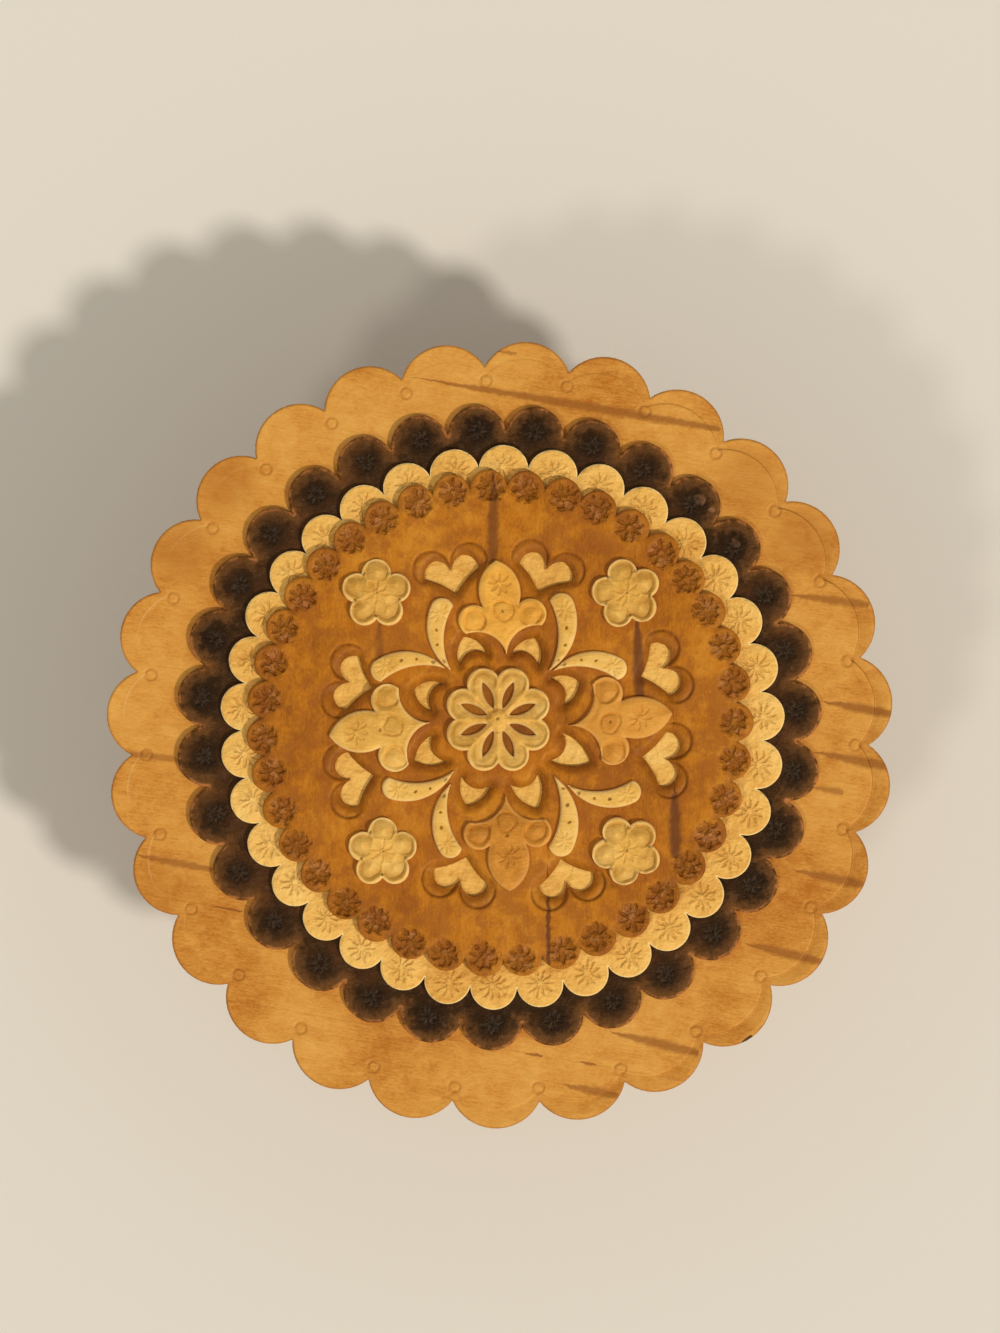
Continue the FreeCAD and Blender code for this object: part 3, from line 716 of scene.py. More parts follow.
def band_stamp(material, lobes, shift, rise, rays, reach, width):
    """Mask of a star punch on every lobe of a band, at a rise from the end of the wall."""
    tree = material.node_tree
    pitch = 2 * math.pi / lobes
    place = millimetres(tree)
    steps = add(tree, "Math", [azimuth_of(tree, place), 1 / pitch, -shift], operation="MULTIPLY_ADD")
    number = add(tree, "Math", [steps], operation="ROUND")
    part = add(tree, "Math", [steps, number], operation="SUBTRACT")
    across = add(tree, "Math", [part, pitch * band_radius], operation="MULTIPLY")
    level = add(tree, "SeparateXYZ", [place]).outputs[2]
    from_middle = add(tree, "Math", [level, wall_middle], operation="SUBTRACT")
    away = add(tree, "Math", [from_middle], operation="ABSOLUTE")
    up = add(tree, "Math", [away, wall_half - rise], operation="SUBTRACT")
    offset = add(tree, "CombineXYZ", [across, up])
    return struck_star(tree, place, offset, number, rays, band_star_inner, reach, width)


# Scorched bark: nearly black, with a warm sheen and hardly any grain.
scorched = ("#20110A", "#34200F", "#523018", 0.42)
scorched_look = {"fibre_share": 0.1, "gloss": 0.25, "shine": "#FFC890"}
burnt_band_bark = bark_finish(
    "scorched bark of the bands", *scorched, wrapped=band_radius, flat=False, **scorched_look
)
dark_band_star, _ = band_stamp(burnt_band_bark, dark_band_lobes, 0.0, *dark_band_punch)
stain(burnt_band_bark, dark_band_star, "#5A4A38", press=0.25, share=0.3)
# Smooth yellow bark: pale and satin. The lobes at the mouth stand half a lobe round from those at the foot.
pale_shades = ("#C98C38", "#E8B052", "#F2C46C", 0.5)
for end, shift in (("foot", 0.0), ("mouth", 0.5)):
    pale_name = f"pale bark of the {end} band"
    pale_band_bark = bark_finish(pale_name, *pale_shades, wrapped=band_radius, flat=False)
    pale_band_star, _ = band_stamp(pale_band_bark, pale_band_lobes, shift, *pale_band_punch)
    stain(pale_band_bark, pale_band_star, "#8E5A1C", press=0.3, share=0.3)
    finish_node(f"{end}_dark_band", burnt_band_bark)
    finish_node(f"{end}_yellow_band", pale_band_bark)


# Lid plate: two scalloped sheets of bark glued crosswise, the upper one with its waxed side up. Its
# lobes are pressed with the gouge, and the tube punch leaves a ring inside each notch.
plate_order = (27, math.radians(5.8), math.radians(1.8), math.radians(206.0))
plate_cut_tip = 78.9
plate_cut_notch = 75.3
plate_gouge = gouge(plate_cut_tip, plate_cut_notch, plate_order[0])
plate_cut = (0.13, 0.32, 2.6)
plate_ring = (74.3, 1.15, 0.4, 0.35)
plate_lean = (0.9, math.radians(107.0))
faint_azimuth = math.radians(-82.0)
# Waxed amber bark: bright orange-yellow, with its fibres showing.
plate_bark = bark_finish(
    "waxed amber bark of the lid", "#B4691A", "#D5923C", "#E3A850", 0.42, grain_turn=9.0, fibre_share=0.34
)
lid_plate = bark_sheet("lid_plate_bark", "lid_upper_sheet", 0.24, near=6.5)
press_lobes(
    lid_plate,
    "lid_upper_sheet",
    plate_bark,
    order=plate_order,
    cut=(*plate_gouge, *plate_cut),
    lean=plate_lean,
    ring=plate_ring,
)


def gouge_line(material, order, cut, slope, wall, depth, lean):
    """Sharpens the line of the gouge, which is finer than the points of the sheet.

    Where it was pressed least, only a pale hairline is left, and it fades along each lobe.
    """
    faint_from, faint_full = 0.74, 0.86
    lobe_half = 2.5
    hair_near, hair_far = 0.03, 0.24
    tree = material.node_tree
    place = millimetres(tree)
    across, outwards, _ = lobe_place(tree, place, *order)
    beyond, profile, force, azimuth = gouge_stroke(tree, place, across, outwards, cut, slope, wall, *lean)
    pressed = add(tree, "Math", [profile, force], operation="MULTIPLY")
    stain(material, pressed, press=depth)
    apart = add(tree, "Math", [azimuth, faint_azimuth], operation="SUBTRACT")
    facing = add(tree, "Math", [apart], operation="COSINE")
    faint = add(tree, "MapRange", {"Value": facing, "From Min": faint_from, "From Max": faint_full})
    half = add(tree, "MapRange", {"Value": across, "From Min": -lobe_half, "From Max": lobe_half})
    off = add(tree, "Math", [beyond], operation="ABSOLUTE")
    hair = fade(tree, off, hair_near, hair_far)
    lip = add(tree, "Math", [hair, faint], operation="MULTIPLY")
    hairline = add(tree, "Math", [lip, half], operation="MULTIPLY")
    stain(material, hairline, "#EFC888", press=0.05, share=0.28)


gouge_line(plate_bark, plate_order, plate_gouge, slope=0.22, wall=2.4, depth=0.075, lean=plate_lean)


def lenticel_group():
    """Mask of a lenticel, the cross streak of birch bark, on places in mm: it tapers to one end or both."""
    widest = 0.62
    wander = (0.9, 0.9, 0.0)
    solid_share = 0.35
    soft_share = 1.4
    least_width = 0.01
    tree = bpy.data.node_groups.new("lenticel", "ShaderNodeTree")
    tree.interface.new_socket("Place", in_out="INPUT", socket_type="NodeSocketVector")
    tree.interface.new_socket("Start", in_out="INPUT", socket_type="NodeSocketVector")
    for size in ("Turn", "Length", "Width", "Darkness"):
        tree.interface.new_socket(size, in_out="INPUT", socket_type="NodeSocketFloat")
    tree.interface.new_socket("Mark", in_out="OUTPUT", socket_type="NodeSocketFloat")
    given = add(tree, "NodeGroupInput").outputs
    from_start = add(tree, "VectorMath", [given["Place"], given["Start"]], operation="SUBTRACT")
    turn = {"Vector": from_start, "Angle": given["Turn"]}
    turned = add(tree, "VectorRotate", turn, rotation_type="Z_AXIS")
    ragged = add(tree, "TexNoise", {"Vector": given["Place"], "Scale": 0.8, "Detail": 3.0})
    slip = add(tree, "VectorMath", [ragged.outputs["Color"], (0.5, 0.5, 0.5)], operation="SUBTRACT")
    bent = add(tree, "VectorMath", [slip, wander, turned], operation="MULTIPLY_ADD")
    axes = add(tree, "SeparateXYZ", [bent])
    share = add(tree, "Math", [axes.outputs[0], given["Length"]], operation="DIVIDE")
    middle = add(tree, "Math", [share, widest], operation="SUBTRACT")
    way = add(tree, "Math", [middle, widest], operation="DIVIDE")
    squared = add(tree, "Math", [way, way], operation="MULTIPLY")
    body = add(tree, "Math", [1.0, squared], operation="SUBTRACT", use_clamp=True)
    past = add(tree, "Math", [share, 1.0], operation="LESS_THAN")
    span = add(tree, "Math", [body, past], operation="MULTIPLY")
    half = add(tree, "Math", [given["Width"], 0.5], operation="MULTIPLY")
    reach = add(tree, "Math", [span, half], operation="MULTIPLY")
    aside = add(tree, "Math", [axes.outputs[1]], operation="ABSOLUTE")
    inner = add(tree, "Math", [reach, solid_share], operation="MULTIPLY")
    outer = add(tree, "Math", [reach, soft_share], operation="MULTIPLY")
    kept = add(tree, "Math", [outer, least_width], operation="ADD")
    mark = fade(tree, aside, inner, kept)
    shown = add(tree, "Math", [mark, given["Darkness"]], operation="MULTIPLY")
    add(tree, "NodeGroupOutput", [shown])
    return tree


lenticel = lenticel_group()


def lenticels(material, marks):
    """Mask of several lenticels, each with its start, heading down from +X, length, width and darkness."""
    tree = material.node_tree
    place = millimetres(tree)
    total = None
    for x, y, down, length, width, darkness in marks:
        sizes = {"Place": place, "Start": (x, y, 0), "Turn": math.radians(down)}
        sizes.update({"Length": length, "Width": width, "Darkness": darkness})
        mark = add(tree, "Group", sizes, node_tree=lenticel)
        total = add(tree, "Math", [total, mark], operation="MAXIMUM") if total else mark
    return total


# The lenticels that show in the photo.
plate_lenticels = [
    (-19.0, 75.0, 9.6, 66.0, 2.0, 0.75),
    (60.5, 29.4, 7.5, 17.0, 2.0, 0.7),
    (67.5, 7.0, 10.5, 15.5, 2.2, 0.8),
    (65.5, -3.5, 11.5, 18.0, 2.3, 0.75),
    (65.0, -10.8, 10.5, 7.0, 1.5, 0.6),
    (61.5, -28.3, 12.0, 16.5, 2.3, 0.75),
    (51.0, -43.6, 13.5, 17.0, 2.3, 0.75),
    (23.0, -62.2, 13.5, 19.0, 2.3, 0.75),
    (13.0, -73.2, 12.0, 12.0, 2.0, 0.7),
    (-1.0, 80.4, 8.0, 4.5, 0.8, 0.6),
    (5.0, -66.6, 10.0, 4.0, 0.8, 0.85),
    (16.5, -68.5, 10.0, 3.6, 0.7, 0.8),
    (-82.0, -3.4, 7.0, 15.0, 1.6, 0.6),
    (-77.0, -25.0, 11.0, 17.0, 1.7, 0.7),
    (-60.5, -35.8, 10.0, 6.5, 0.6, 0.9),
]
stain(plate_bark, lenticels(plate_bark, plate_lenticels), "#92541B", press=0.05)
# The rim is darker: the cut edge's own brown, with painted shade where the edge rolls away from the light.
stain(plate_bark, near_rim(plate_bark, 0.0, 0.6), "#8A4E1C", share=0.55)
# The one split in its edge is dark.
split = [(50.2, -65.1, -41.0, 3.4, 0.7, 1.0)]
stain(plate_bark, lenticels(plate_bark, split), "#3A1E08", press=0.3)
# Hands have darkened some lobes: place and darkness of each stain.
plate_top = 63.5
handled = [
    (-57.6, 53.2, 0.9),
    (-67.2, 39.0, 1.0),
    (52.1, 53.2, 0.7),
    (63.2, 41.4, 0.8),
    (-70.0, -33.0, 0.4),
]
for x, y, darkness in handled:
    tree = plate_bark.node_tree
    spot = (x, y, plate_top)
    away = add(tree, "VectorMath", [millimetres(tree), spot], operation="DISTANCE")
    near = fade(tree, away.outputs["Value"], 2.0, 10.5)
    blotched = add(tree, "Math", [near, tree.nodes["pores"]], operation="MULTIPLY")
    stain(plate_bark, blotched, "#A85F18", share=darkness)
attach(lid_plate, "lid")
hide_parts("lid_upper_sheet")
finish_node("lid_lower_sheet", plate_bark)


# Lid collar and lining: two rings of smooth bark glued under the plate, which drop into the mouth and
# hold the lid, with a disc of the same bark inside them.

# Smooth inner bark, as on the floor.
collar_bark = bark_finish("smooth bark of the collar", *smooth_shades, wrapped=wall_radius, flat=False)
finish_node("collar_outer_ring", collar_bark)
finish_node("collar_inner_ring", collar_bark)
finish_node("lid_lining", smooth_bark)


# Dark disc: bark scorched nearly black, with domed lobes that fade to brown at the rim. A star punch
# marks the middle of each lobe.
dark_order = (31, math.radians(7.2), math.radians(1.7), math.radians(263.0))
dark_centre = (-0.2, 1.5)
dark_crown = (61.6, 6.2, 0.35)
dark_punch = (61.9, 8.0, 0.3, 2.2, 0.45, 2.4)
dark_star_depth = 0.3
# Scorched bark: nearly black, with a warm sheen and hardly any grain.
dark_bark = bark_finish("scorched birch bark", *scorched, **scorched_look)


def lobe_stamp(material, centre, order, reach, *sizes):
    """Mask of a star punch in the middle of every lobe, and the distance from it."""
    tree = material.node_tree
    place = add(tree, "VectorMath", [millimetres(tree), (*centre, 0)], operation="SUBTRACT")
    across, outwards, number = lobe_place(tree, place, *order)
    beyond = add(tree, "Math", [outwards, reach], operation="SUBTRACT")
    offset = add(tree, "CombineXYZ", [across, beyond])
    return struck_star(tree, millimetres(tree), offset, number, *sizes)


dark_disc = bark_sheet("dark_disc_bark", "dark_disc", 0.32, near=9.5, edge_round=0.35)
press_lobes(
    dark_disc,
    "dark_disc",
    dark_bark,
    order=dark_order,
    centre=dark_centre,
    crown=dark_crown,
    star=(*dark_punch, dark_star_depth),
)
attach(dark_disc, "lid")
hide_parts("dark_disc")


dark_tree = dark_bark.node_tree
burn = {"Scale": 0.55, "Detail": 4.0, "Roughness": 0.65}
scorch = add(dark_tree, "TexNoise", {"Vector": millimetres(dark_tree), **burn})
uneven = add(dark_tree, "Math", [scorch, 9.0, rim_of(dark_bark)], operation="MULTIPLY_ADD")
stain(dark_bark, fade(dark_tree, uneven, 4.4, 8.0), "#70461F")
stain(dark_bark, fade(dark_tree, scorch, 0.38, 0.52), "#4A3323", press=-0.3, share=0.4)
# The rim is lighter in patches: crumbled, worn bark, with a painted highlight along the edge.
dark_rim = near_rim(dark_bark, 0.2, 0.9)
patches = fade(dark_tree, scorch, 0.42, 0.56)
worn_and_lit_rim = add(dark_tree, "Math", [dark_rim, patches], operation="MULTIPLY")
stain(dark_bark, worn_and_lit_rim, "#B4713A")
# Three spots are worn pale.
worn_spots = [
    (40.5, 50.0, 35.0, 2.6, 2.4, 0.8),
    (48.6, 41.0, 60.0, 2.2, 1.6, 0.8),
    (43.5, 47.3, 20.0, 1.4, 1.4, 0.7),
]
stain(dark_bark, lenticels(dark_bark, worn_spots), "#9A6A48", press=0.1)
dark_star, dark_off = lobe_stamp(dark_bark, dark_centre, dark_order, *dark_punch)
stain(dark_bark, fade(dark_tree, dark_off, 1.0, 4.4), "#150C07", share=0.8)
# Each star punch presses the lobe and carries a painted glint, lighter grey-brown on the black.
stain(dark_bark, dark_star, "#66594A", press=0.3, share=0.2)


# Yellow disc: smooth pale inner bark. Each lobe is nearly a full circle with a star punch that fills
# it, and its cut rim catches the light.
yellow_order = (34, math.radians(1.1), math.radians(2.0), math.radians(115.0))
yellow_centre = (0.5, 1.6)
yellow_crown = (54.0, 5.0, 0.3)
yellow_punch = (54.2, 10.0, 0.4, 3.2, 0.4, 1.4)
yellow_star_depth = 0.3
# Smooth yellow bark: pale and satin.
yellow_bark = bark_finish("smooth yellow birch bark", "#D2933C", "#ECB356", "#F5C56C", 0.5)
yellow_disc = bark_sheet("yellow_disc_bark", "yellow_disc", 0.26, near=8.4, edge_round=0.22)
press_lobes(
    yellow_disc,
    "yellow_disc",
    yellow_bark,
    order=yellow_order,
    centre=yellow_centre,
    crown=yellow_crown,
    star=(*yellow_punch, yellow_star_depth),
)
yellow_star, _ = lobe_stamp(yellow_bark, yellow_centre, yellow_order, *yellow_punch)
stain(yellow_bark, yellow_star, "#8E5A1C", press=0.4, share=0.2)
yellow_tree = yellow_bark.node_tree
folds = add(yellow_tree, "TexNoise", {"Vector": millimetres(yellow_tree), "Scale": 0.45})
stain(yellow_bark, folds, press=0.9)
stain(yellow_bark, near_rim(yellow_bark, 0.1, 0.35), "#F7D48A")
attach(yellow_disc, "lid")
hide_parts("yellow_disc")


# Brown medallion: bark stained brown, with hearts and leaves cut through it and their edges pressed
# down. A rosette punch marks every lobe, and round punches leave a halo at the crown of each heart.
brown_order = (39, math.radians(7.4), math.radians(1.3), math.radians(211.0))
brown_centre = (0.0, 2.5)
brown_punch = (48.9, 8.0, 0.4, 3.1, 0.7, 2.0)
brown_star_depth = 0.45
medallion_top = 68.3
ornament_centre = np.array([-0.4, 3.3])
opening_slope = 2.0
opening_drop = 1.15
opening_dark = 0.2
opening_dark_reach = 1.4
# How dark the painted shade round the ornaments is, and how far it reaches.
contact_shade_dark = 0.16
contact_shade_reach = 1.8
halo_radius = 3.7
halo_ahead = 6.1
halo_side = 4.1
halo_dark = 0.13
halo_line = 0.35
# The depth of the gouge cut, with its slope and wall.
halo_cut = (0.65, 1.8, 0.3)
# Stained bark: reddish brown with a low gloss, and its fibres run up the photo.
brown_bark = bark_finish(
    "stained brown birch bark", "#8E4F0E", "#BB7014", "#CF8727", 0.45, grain_turn=90.0, gloss=0.25
)


def groove(beyond, depth, slope, wall):
    """Height of a gouge cut by the distance beyond its line: a long slope inside, a steep wall outside."""
    return -depth * np.clip(np.minimum(1 + beyond / slope, 1 - beyond / wall), 0, 1)


def heart_frames():
    """Foot and heading of every heart opening, the larger ones of the openings."""
    frames = []
    for loop in outline_loops("brown_medallion")[1:9]:
        foot = loop[np.linalg.norm(loop - ornament_centre, axis=1).argmin()]
        heading = loop.mean(0) - foot
        frames.append((foot, heading / np.linalg.norm(heading)))
    return frames


def medallion_relief(own, rim, cut):
    """The bark slopes down to each opening, and a gouge leaves two arcs round the crown of each heart.

    Painted shade darkens it close round the ornaments, where they stand on it.
    """
    words = ("centre_flower", "tulip", "corner_flower", "crescent")
    glued = [outline_loops(node)[0] for node in nodes if node.startswith(words)]
    # Painted shade close round each ornament, where it stands on the medallion.
    contact_shade = contact_shade_dark * np.clip(1 - distance_to(glued)(own) / contact_shade_reach, 0, 1)
    rise = -opening_drop * np.clip(1 - cut / opening_slope, 0, 1) ** 1.6
    # The bark is darker towards each opening.
    mark = opening_dark * np.clip(1 - cut / opening_dark_reach, 0, 1)
    for foot, ahead in heart_frames():
        right = np.array([ahead[1], -ahead[0]])
        forward = (own - foot) @ ahead
        beside = (own - foot) @ right
        off_left = np.hypot(beside + halo_side, forward - halo_ahead)
        off_right = np.hypot(beside - halo_side, forward - halo_ahead)
        beyond = np.minimum(off_left, off_right) - halo_radius
        there = np.clip((forward - halo_ahead + 2.6) / 1.6, 0, 1)
        rise += there * groove(beyond, *halo_cut)
        # Each halo's line is darker: the gouge's mark, with painted shade in its groove.
        mark = np.maximum(mark, there * np.clip(1 - np.abs(beyond + 0.1) / halo_line, 0, 1))
        mark = np.maximum(mark, halo_dark * there * (beyond < 0))
    return rise, np.maximum(mark, contact_shade)


brown_medallion = bark_sheet(
    "brown_medallion_bark",
    "brown_medallion",
    0.3,
    near=4.6,
    rim_near=7.4,
    relief=medallion_relief,
    edge_round=0.3,
)
press_lobes(
    brown_medallion,
    "brown_medallion",
    brown_bark,
    order=brown_order,
    centre=brown_centre,
    star=(*brown_punch, brown_star_depth),
)
brown_tree = brown_bark.node_tree
rosette, rosette_off = lobe_stamp(brown_bark, brown_centre, brown_order, *brown_punch)
crumple = {"Scale": 0.55, "Detail": 2.5, "Roughness": 0.55}
crumpled = add(brown_tree, "TexNoise", {"Vector": millimetres(brown_tree), **crumple})
stamped = fade(brown_tree, rosette_off, 2.0, 3.5)
stain(brown_bark, stamped, "#753F10", share=0.5)
stain(brown_bark, rosette, "#5E3410", press=0.4, share=0.28)
blotch = {"Scale": 0.17, "Detail": 7.0, "Roughness": 0.72}
blotches = add(brown_tree, "TexNoise", {"Vector": millimetres(brown_tree), **blotch})
stain(brown_bark, fade(brown_tree, blotches, 0.41, 0.57), "#934F19", share=0.58)
# Painted shade on the medallion under the centre flower, seen through its slots.
middle_top = (*ornament_centre, medallion_top)
away = add(brown_tree, "VectorMath", [millimetres(brown_tree), middle_top], operation="DISTANCE")
shade_under_flower = fade(brown_tree, away.outputs["Value"], 8.2, 9.2)
stain(brown_bark, shade_under_flower, "#4A2A10", share=0.45)
broken = add(brown_tree, "Math", [stamped, crumpled], operation="MULTIPLY")
stain(brown_bark, broken, press=0.9)
# Painted highlights on the raised crumbs of each rosette.
raised = fade(brown_tree, crumpled, 0.38, 0.5)
lit_flecks = add(brown_tree, "Math", [stamped, raised], operation="MULTIPLY")
stain(brown_bark, lit_flecks, "#CE8A50", press=-0.3, share=0.35)
brown_rim = near_rim(brown_bark, 0.3, 1.8)
frayed = add(brown_tree, "Math", [brown_rim, crumpled], operation="MULTIPLY")
stain(brown_bark, frayed, "#7A4214", press=0.5, share=0.6)
# Dark streaks of the bark run up the photo.
medallion_streaks = [
    (-1.3, 54.5, 91.0, 19.0, 2.6, 0.75),
    (28.4, 25.5, 88.0, 19.0, 2.8, 0.9),
    (10.0, -27.0, 90.0, 22.0, 1.0, 0.9),
    (36.2, -10.5, 89.0, 15.0, 2.8, 0.9),
    (-25.0, 24.5, 92.0, 9.5, 2.0, 0.5),
    (36.8, 50.0, 90.0, 6.0, 1.5, 0.4),
]
stain(brown_bark, lenticels(brown_bark, medallion_streaks), "#693817", press=0.12)
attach(brown_medallion, "lid")
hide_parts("brown_medallion")


# Centre flower: eight petals of pale straw bark round a raised middle, glued on the middle of the
# medallion. A chisel cut an almond slot along each petal, and a gouge cupped its end.
flower_petals = 8
flower_tip = 11.3
flower_notch = 9.0
flower_turn = 22.5
# The cups: how far inside the edge, how deep, and from which radius outwards.
flower_cup = (1.1, 0.7, 6.0)
slot_width = 1.5
slot_depth = 1.1
# Width and darkness of the painted shade at the edges of each slot.
slot_shade_width = 0.6
slot_shade_dark = 0.4
button_radius = 2.4
button_groove = 0.7
button_depth = 0.4
pin_radius = 0.4
pin_depth = 0.3
# Straw bark: the palest yellow and satin. Its edge, pressed round, gets a painted highlight.
straw_bark = bark_finish("pale straw birch bark", "#C98E34", "#E8B254", "#F4C872", 0.5)
# Painted highlight along its edges, the slots' edges too.
stain(straw_bark, near_rim(straw_bark, 0.1, 0.7), "#FCDC98", share=0.4)


def dot_mark(own, centre, radius):
    """Share of a round punch's mark at each point."""
    return np.clip(2 * (1 - np.linalg.norm(own - centre, axis=1) / radius), 0, 1)


def star_mark(own, centre, reach, rays=8, width=0.34, turn=0.2):
    """Share of a star punch's rays at each point."""
    offset = own - centre
    radius = np.linalg.norm(offset, axis=1)
    half = math.pi / rays
    angle = np.arctan2(offset[:, 0], offset[:, 1]) + turn
    off = radius * np.sin(np.abs(angle % (2 * half) - half))
    along = np.clip((radius / reach - 0.15) / 0.85, 0, 1)
    swell = 4 * along * (1 - along)
    return np.clip(1.6 * (1 - off / (width * swell + 1e-3)), 0, 1)


def ring_mark(own, centre, radius, width):
    """Share of a tube punch's ring at each point."""
    return np.clip(1 - np.abs(np.linalg.norm(own - centre, axis=1) - radius) / width, 0, 1)


def by_hand(own, seed):
    """Places that wander a little, so that no mark is drawn with a ruler."""
    x, y = own.T
    aside = np.sin(1.1 * y + seed) + 0.6 * np.sin(2.9 * x + 2 * seed)
    along = np.sin(1.3 * x + 3 * seed) + 0.6 * np.sin(2.7 * y + seed)
    return own + 0.16 * np.stack([aside, along], axis=1)


def petal_cups(own, petals, start, tip, notch, inset, depth, inner):
    """Height of a gouge cut inside each petal's end, and how dark it is left."""
    centre, radius = gouge(tip, notch, petals)
    azimuth = np.arctan2(own[:, 0], own[:, 1]) - math.radians(start)
    pitch = 2 * math.pi / petals
    phase = (azimuth + pitch / 2) % pitch - pitch / 2
    reach = np.linalg.norm(own, axis=1)
    across, outwards = reach * np.sin(phase), reach * np.cos(phase)
    beyond = np.hypot(across, outwards - centre) - (radius - inset)
    there = np.clip((outwards - inner) / 1.6, 0, 1)
    cup = there * groove(beyond, depth, 1.9, 0.7)
    return cup, -0.45 * cup / depth


def rolled(distance, width, drop):
    """Height of an edge that is pressed down round."""
    return -drop * np.clip(1 - distance / width, 0, 1) ** 2


def flower_relief(own, rim, cut):
    """Cupped petals, a valley along each slot, and a raised button in the middle."""
    own = by_hand(own, 1.0)
    cups, mark = petal_cups(own, flower_petals, flower_turn, flower_tip, flower_notch, *flower_cup)
    valley = np.clip(1 - cut / slot_width, 0, 1) ** 1.4
    ring = ring_mark(own, (0, 0), button_radius, button_groove)
    dot = dot_mark(own, (0.1, 0.3), pin_radius)
    rise = cups + rolled(rim, 0.9, 0.5) - slot_depth * valley - button_depth * ring - pin_depth * dot
    # Painted shade darkens the edges of each slot and its valley.
    slot_shade = slot_shade_dark * np.clip(1 - cut / slot_shade_width, 0, 1)
    return rise, np.maximum.reduce([mark, 0.08 * ring, 0.9 * dot, slot_shade, 0.08 * valley])


def ornament(name, node, finish, relief, foot, heading, step=0.17):
    """Small piece of bark with its own relief, glued on the medallion."""
    piece = bark_sheet(name, node, step, relief=relief, edge_round=0.2, foot=foot, heading=heading)
    piece.data.materials.append(finish)
    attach(piece, "lid")
    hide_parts(node)
    return piece


ornament("centre_flower_bark", "centre_flower", straw_bark, flower_relief, ornament_centre, 0.0)


# Tulips: four, each cut from its own piece of bark and pointing out along an axis. A gouge cupped the
# side lobes, a tube punch marks the throat, a star punch the petal and a pin the place between.
# Honey bark: a deeper, warmer yellow, a little waxed, with a painted highlight along its edge.
honey_bark = bark_finish("honey birch bark", "#CC8A2C", "#EDAA42", "#F6BE58", 0.48)
# Painted highlight along its edges.
stain(honey_bark, near_rim(honey_bark, 0.1, 0.7), "#F8CC78", share=0.4)
# Tan bark: an orange tan between the medallion and the honey bark.
tan_bark = bark_finish("tan birch bark", "#AE6C1E", "#D28A30", "#E0A044", 0.48)
# Painted highlight along its edges.
stain(tan_bark, near_rim(tan_bark, 0.1, 0.7), "#E8B468", share=0.4)
tulip_finishes = {"north": honey_bark, "east": tan_bark, "south": tan_bark, "west": straw_bark}
# Depth, slope and wall of the cups, radius and width of the throat ring, reach and width of the star.
tulip_cup = (0.8, 2.4, 0.7)
throat_ring = (2.0, 0.5)
throat_boss = 2.3
tulip_star_reach = 2.6
tulip_star_width = 0.55
# Places of the marks along each tulip, as shares of its length: throat ring, star and pin,
# the height of a crease at its tip in mm, and how dark the star is
tulip_marks = {
    "north": (0.47, 0.75, 0.47, 0.0, 0.24),
    "east": (0.39, 0.68, 0.39, 0.2, 0.0),
    "south": (0.27, 0.63, 0.41, 0.0, 0.06),
    "west": (0.37, 0.73, 0.49, 0.0, 0.06),
}


def tulip_relief(length, throat, star, pin, crease, darkness):
    """Relief of a tulip of this length, whose marks stand at these shares of it."""
    lobe = (0.30 * length, 0.39 * length)

    def relief(own, rim, cut):
        own = by_hand(own, 5 * throat)
        across, ahead = own.T
        folded = np.stack([np.abs(across), ahead], axis=1)
        beyond = np.linalg.norm(folded - lobe, axis=1) - 0.1 * length
        cup = groove(beyond, *tulip_cup)
        middle = (0.3, throat * length)
        ring = ring_mark(own, middle, *throat_ring)
        boss = np.clip(throat_boss - np.linalg.norm(own - middle, axis=1), 0, 1)
        rays = star_mark(own, (0, star * length), tulip_star_reach, width=tulip_star_width)
        dot = dot_mark(own, (0, pin * length), pin_radius)
        lip = np.clip(1 - np.abs(rim - 1.2) / 0.9, 0, 1) * np.clip((0.45 - ahead / length) / 0.1, 0, 1)
        ridge = crease * np.clip(1 - np.abs(across) / 0.8, 0, 1) * np.clip(ahead / length - 0.8, 0, 0.1) * 10
        rise = cup + rolled(rim, 1.6, 0.6) - 0.4 * ring - 0.25 * rays - pin_depth * dot - 0.25 * lip + ridge
        marks = [-0.2 * cup, 0.12 * ring, 0.14 * boss, darkness * rays, 0.9 * dot, 0.08 * lip]
        return rise, np.maximum.reduce(marks)

    return relief


for side, finish in tulip_finishes.items():
    node = f"tulip_{side}"
    outline = outline_loops(node)[0]
    reach = np.linalg.norm(outline - ornament_centre, axis=1)
    foot, tip = outline[reach.argmin()], outline[reach.argmax()]
    heading = math.degrees(math.atan2(*(tip - foot)))
    relief = tulip_relief(np.linalg.norm(tip - foot), *tulip_marks[side])
    ornament(f"{node}_bark", node, finish, relief, foot, heading)


# Corner flowers: four of pale straw bark, on the diagonals, each glued on by its middle. Each petal is
# cupped with the gouge and parted from the next by a slit that ends in a small hole.
corner_petals = 5
corner_tip = 7.3
corner_notch = 5.2
corner_cup = (0.95, 0.95, 2.4)
corner_star_reach = 2.8
corner_star_width = 0.5
hole_inset = 0.35
hole_radius = 0.5
hole_depth = 0.5
crack_reach = 4.6
corner_turns = {"north_east": -12.0, "south_east": -28.0, "south_west": 0.0, "north_west": 0.0}
torn_azimuth = math.radians(116.0)


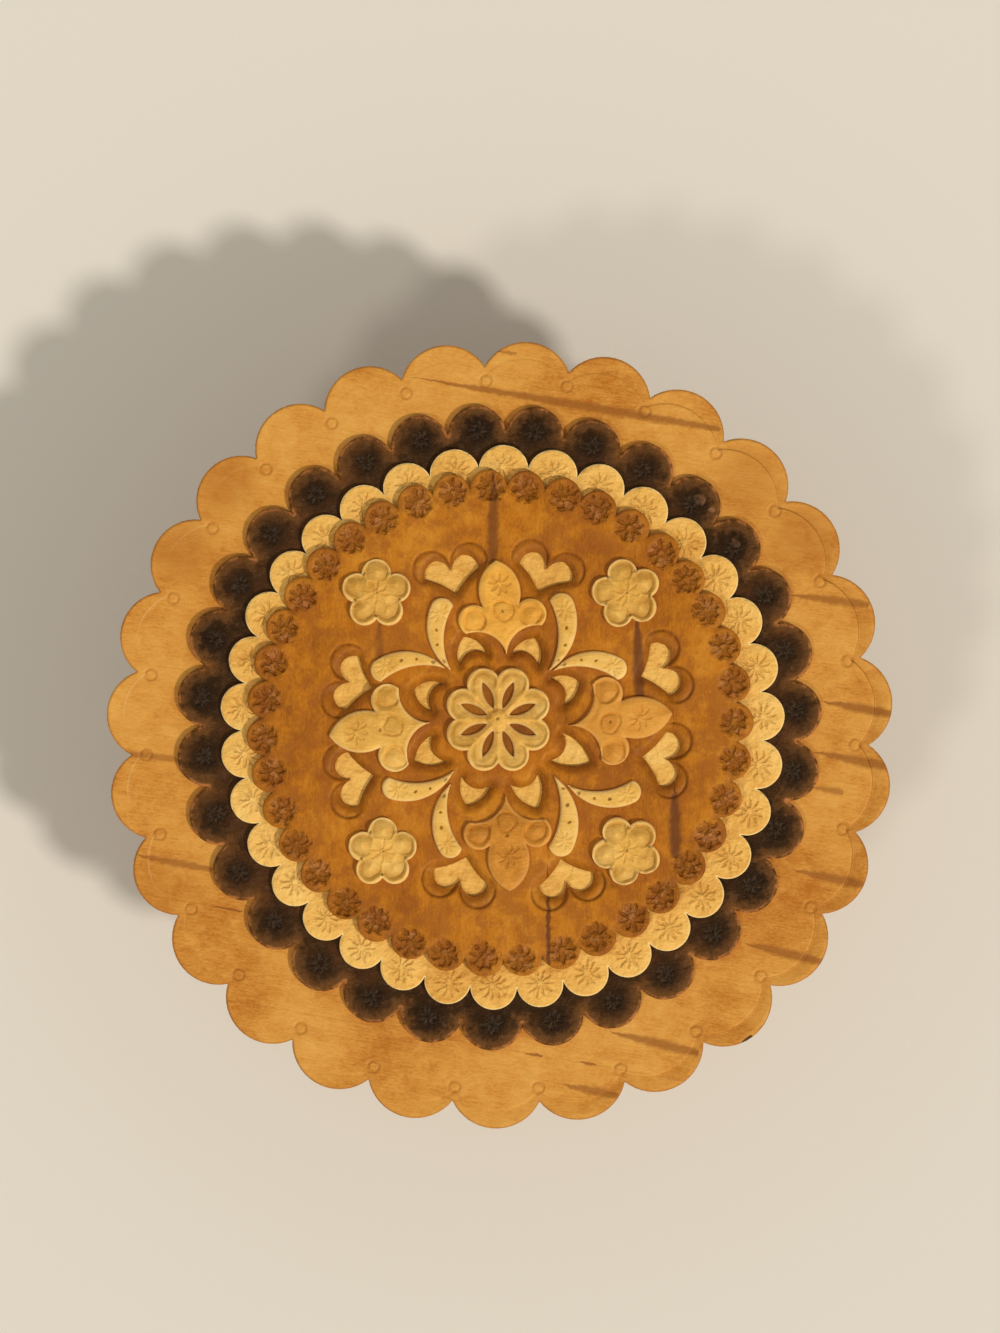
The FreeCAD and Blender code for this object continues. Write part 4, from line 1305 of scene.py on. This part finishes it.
def corner_relief(turn, torn=None):
    """Relief of a corner flower whose first petal points this many degrees round from +Y.

    torn is the heading of a petal that has cracked across.
    """

    def relief(own, rim, cut):
        own = by_hand(own, 0.1 * turn)
        cups, mark = petal_cups(own, corner_petals, turn, corner_tip, corner_notch, *corner_cup)
        rays = star_mark(own, (0, 0), corner_star_reach, width=corner_star_width)
        dot = dot_mark(own, (0.1, 0), pin_radius)
        holes = np.zeros(len(own))
        for petal in range(corner_petals):
            side = math.radians(turn + 360 / corner_petals * (petal + 0.5))
            hole = (corner_notch - hole_inset) * np.array([math.sin(side), math.cos(side)])
            holes = np.maximum(holes, dot_mark(own, hole, hole_radius))
        rise = cups + rolled(rim, 0.7, 0.3) - 0.25 * rays - pin_depth * dot - hole_depth * holes
        past = own @ torn - crack_reach if torn is not None else np.full(len(own), -9.0)
        crack = np.clip(1 - np.abs(past) / 0.35, 0, 1)
        rise -= 0.3 * np.clip(past / 0.3, 0, 1)
        return rise, np.maximum.reduce([mark, 0.06 * rays, 0.8 * dot, holes, 0.4 * crack])

    return relief


for corner, turn in corner_turns.items():
    node = f"corner_flower_{corner}"
    low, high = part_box(node)
    outline = outline_loops(node)[0]
    middle = np.mean([outline.min(0), outline.max(0)], axis=0)
    torn = np.array([math.sin(torn_azimuth), math.cos(torn_azimuth)]) if corner == "south_east" else None
    ornament(f"{node}_bark", node, straw_bark, corner_relief(turn, torn), middle, 0.0)


# Crescent leaves: eight thin strips of pale straw bark, in a pair beside each diagonal. A pin pricked
# them along the middle, and the star punch marks the wide end.
crescent_pins = (0.15, 0.37, 0.58)
crescent_star = 0.8
crescent_pin_radius = 0.42


def crescent_relief(length, middles):
    """Relief of a leaf of this length. middles tells how far across its middle lies at a share of it."""

    def relief(own, rim, cut):
        own = by_hand(own, length)
        wide_end = (middles(crescent_star), crescent_star * length)
        rays = star_mark(own, wide_end, 2.3, rays=9, width=0.42)
        dots = np.zeros(len(own))
        for share in crescent_pins:
            dots = np.maximum(dots, dot_mark(own, (middles(share), share * length), crescent_pin_radius))
        return rolled(rim, 1.1, 0.45) - 0.2 * rays - 0.4 * dots, np.maximum(0.06 * rays, 0.9 * dots)

    return relief


for corner in corner_turns:
    for hand in ("left", "right"):
        node = f"crescent_{corner}_{hand}"
        outline = outline_loops(node)[0]
        foot = outline[np.linalg.norm(outline - ornament_centre, axis=1).argmin()]
        end = outline[np.linalg.norm(outline - foot, axis=1).argmax()]
        length = np.linalg.norm(end - foot)
        ahead = (end - foot) / length
        along = (outline - foot) @ ahead / length
        across = (outline - foot) @ np.array([ahead[1], -ahead[0]])

        def middles(share, along=along, across=across):
            there = across[np.abs(along - share) < 0.04]
            return (there.min() + there.max()) / 2

        heading = math.degrees(math.atan2(*ahead))
        relief = crescent_relief(length, middles)
        ornament(f"{node}_bark", node, straw_bark, relief, foot, heading)
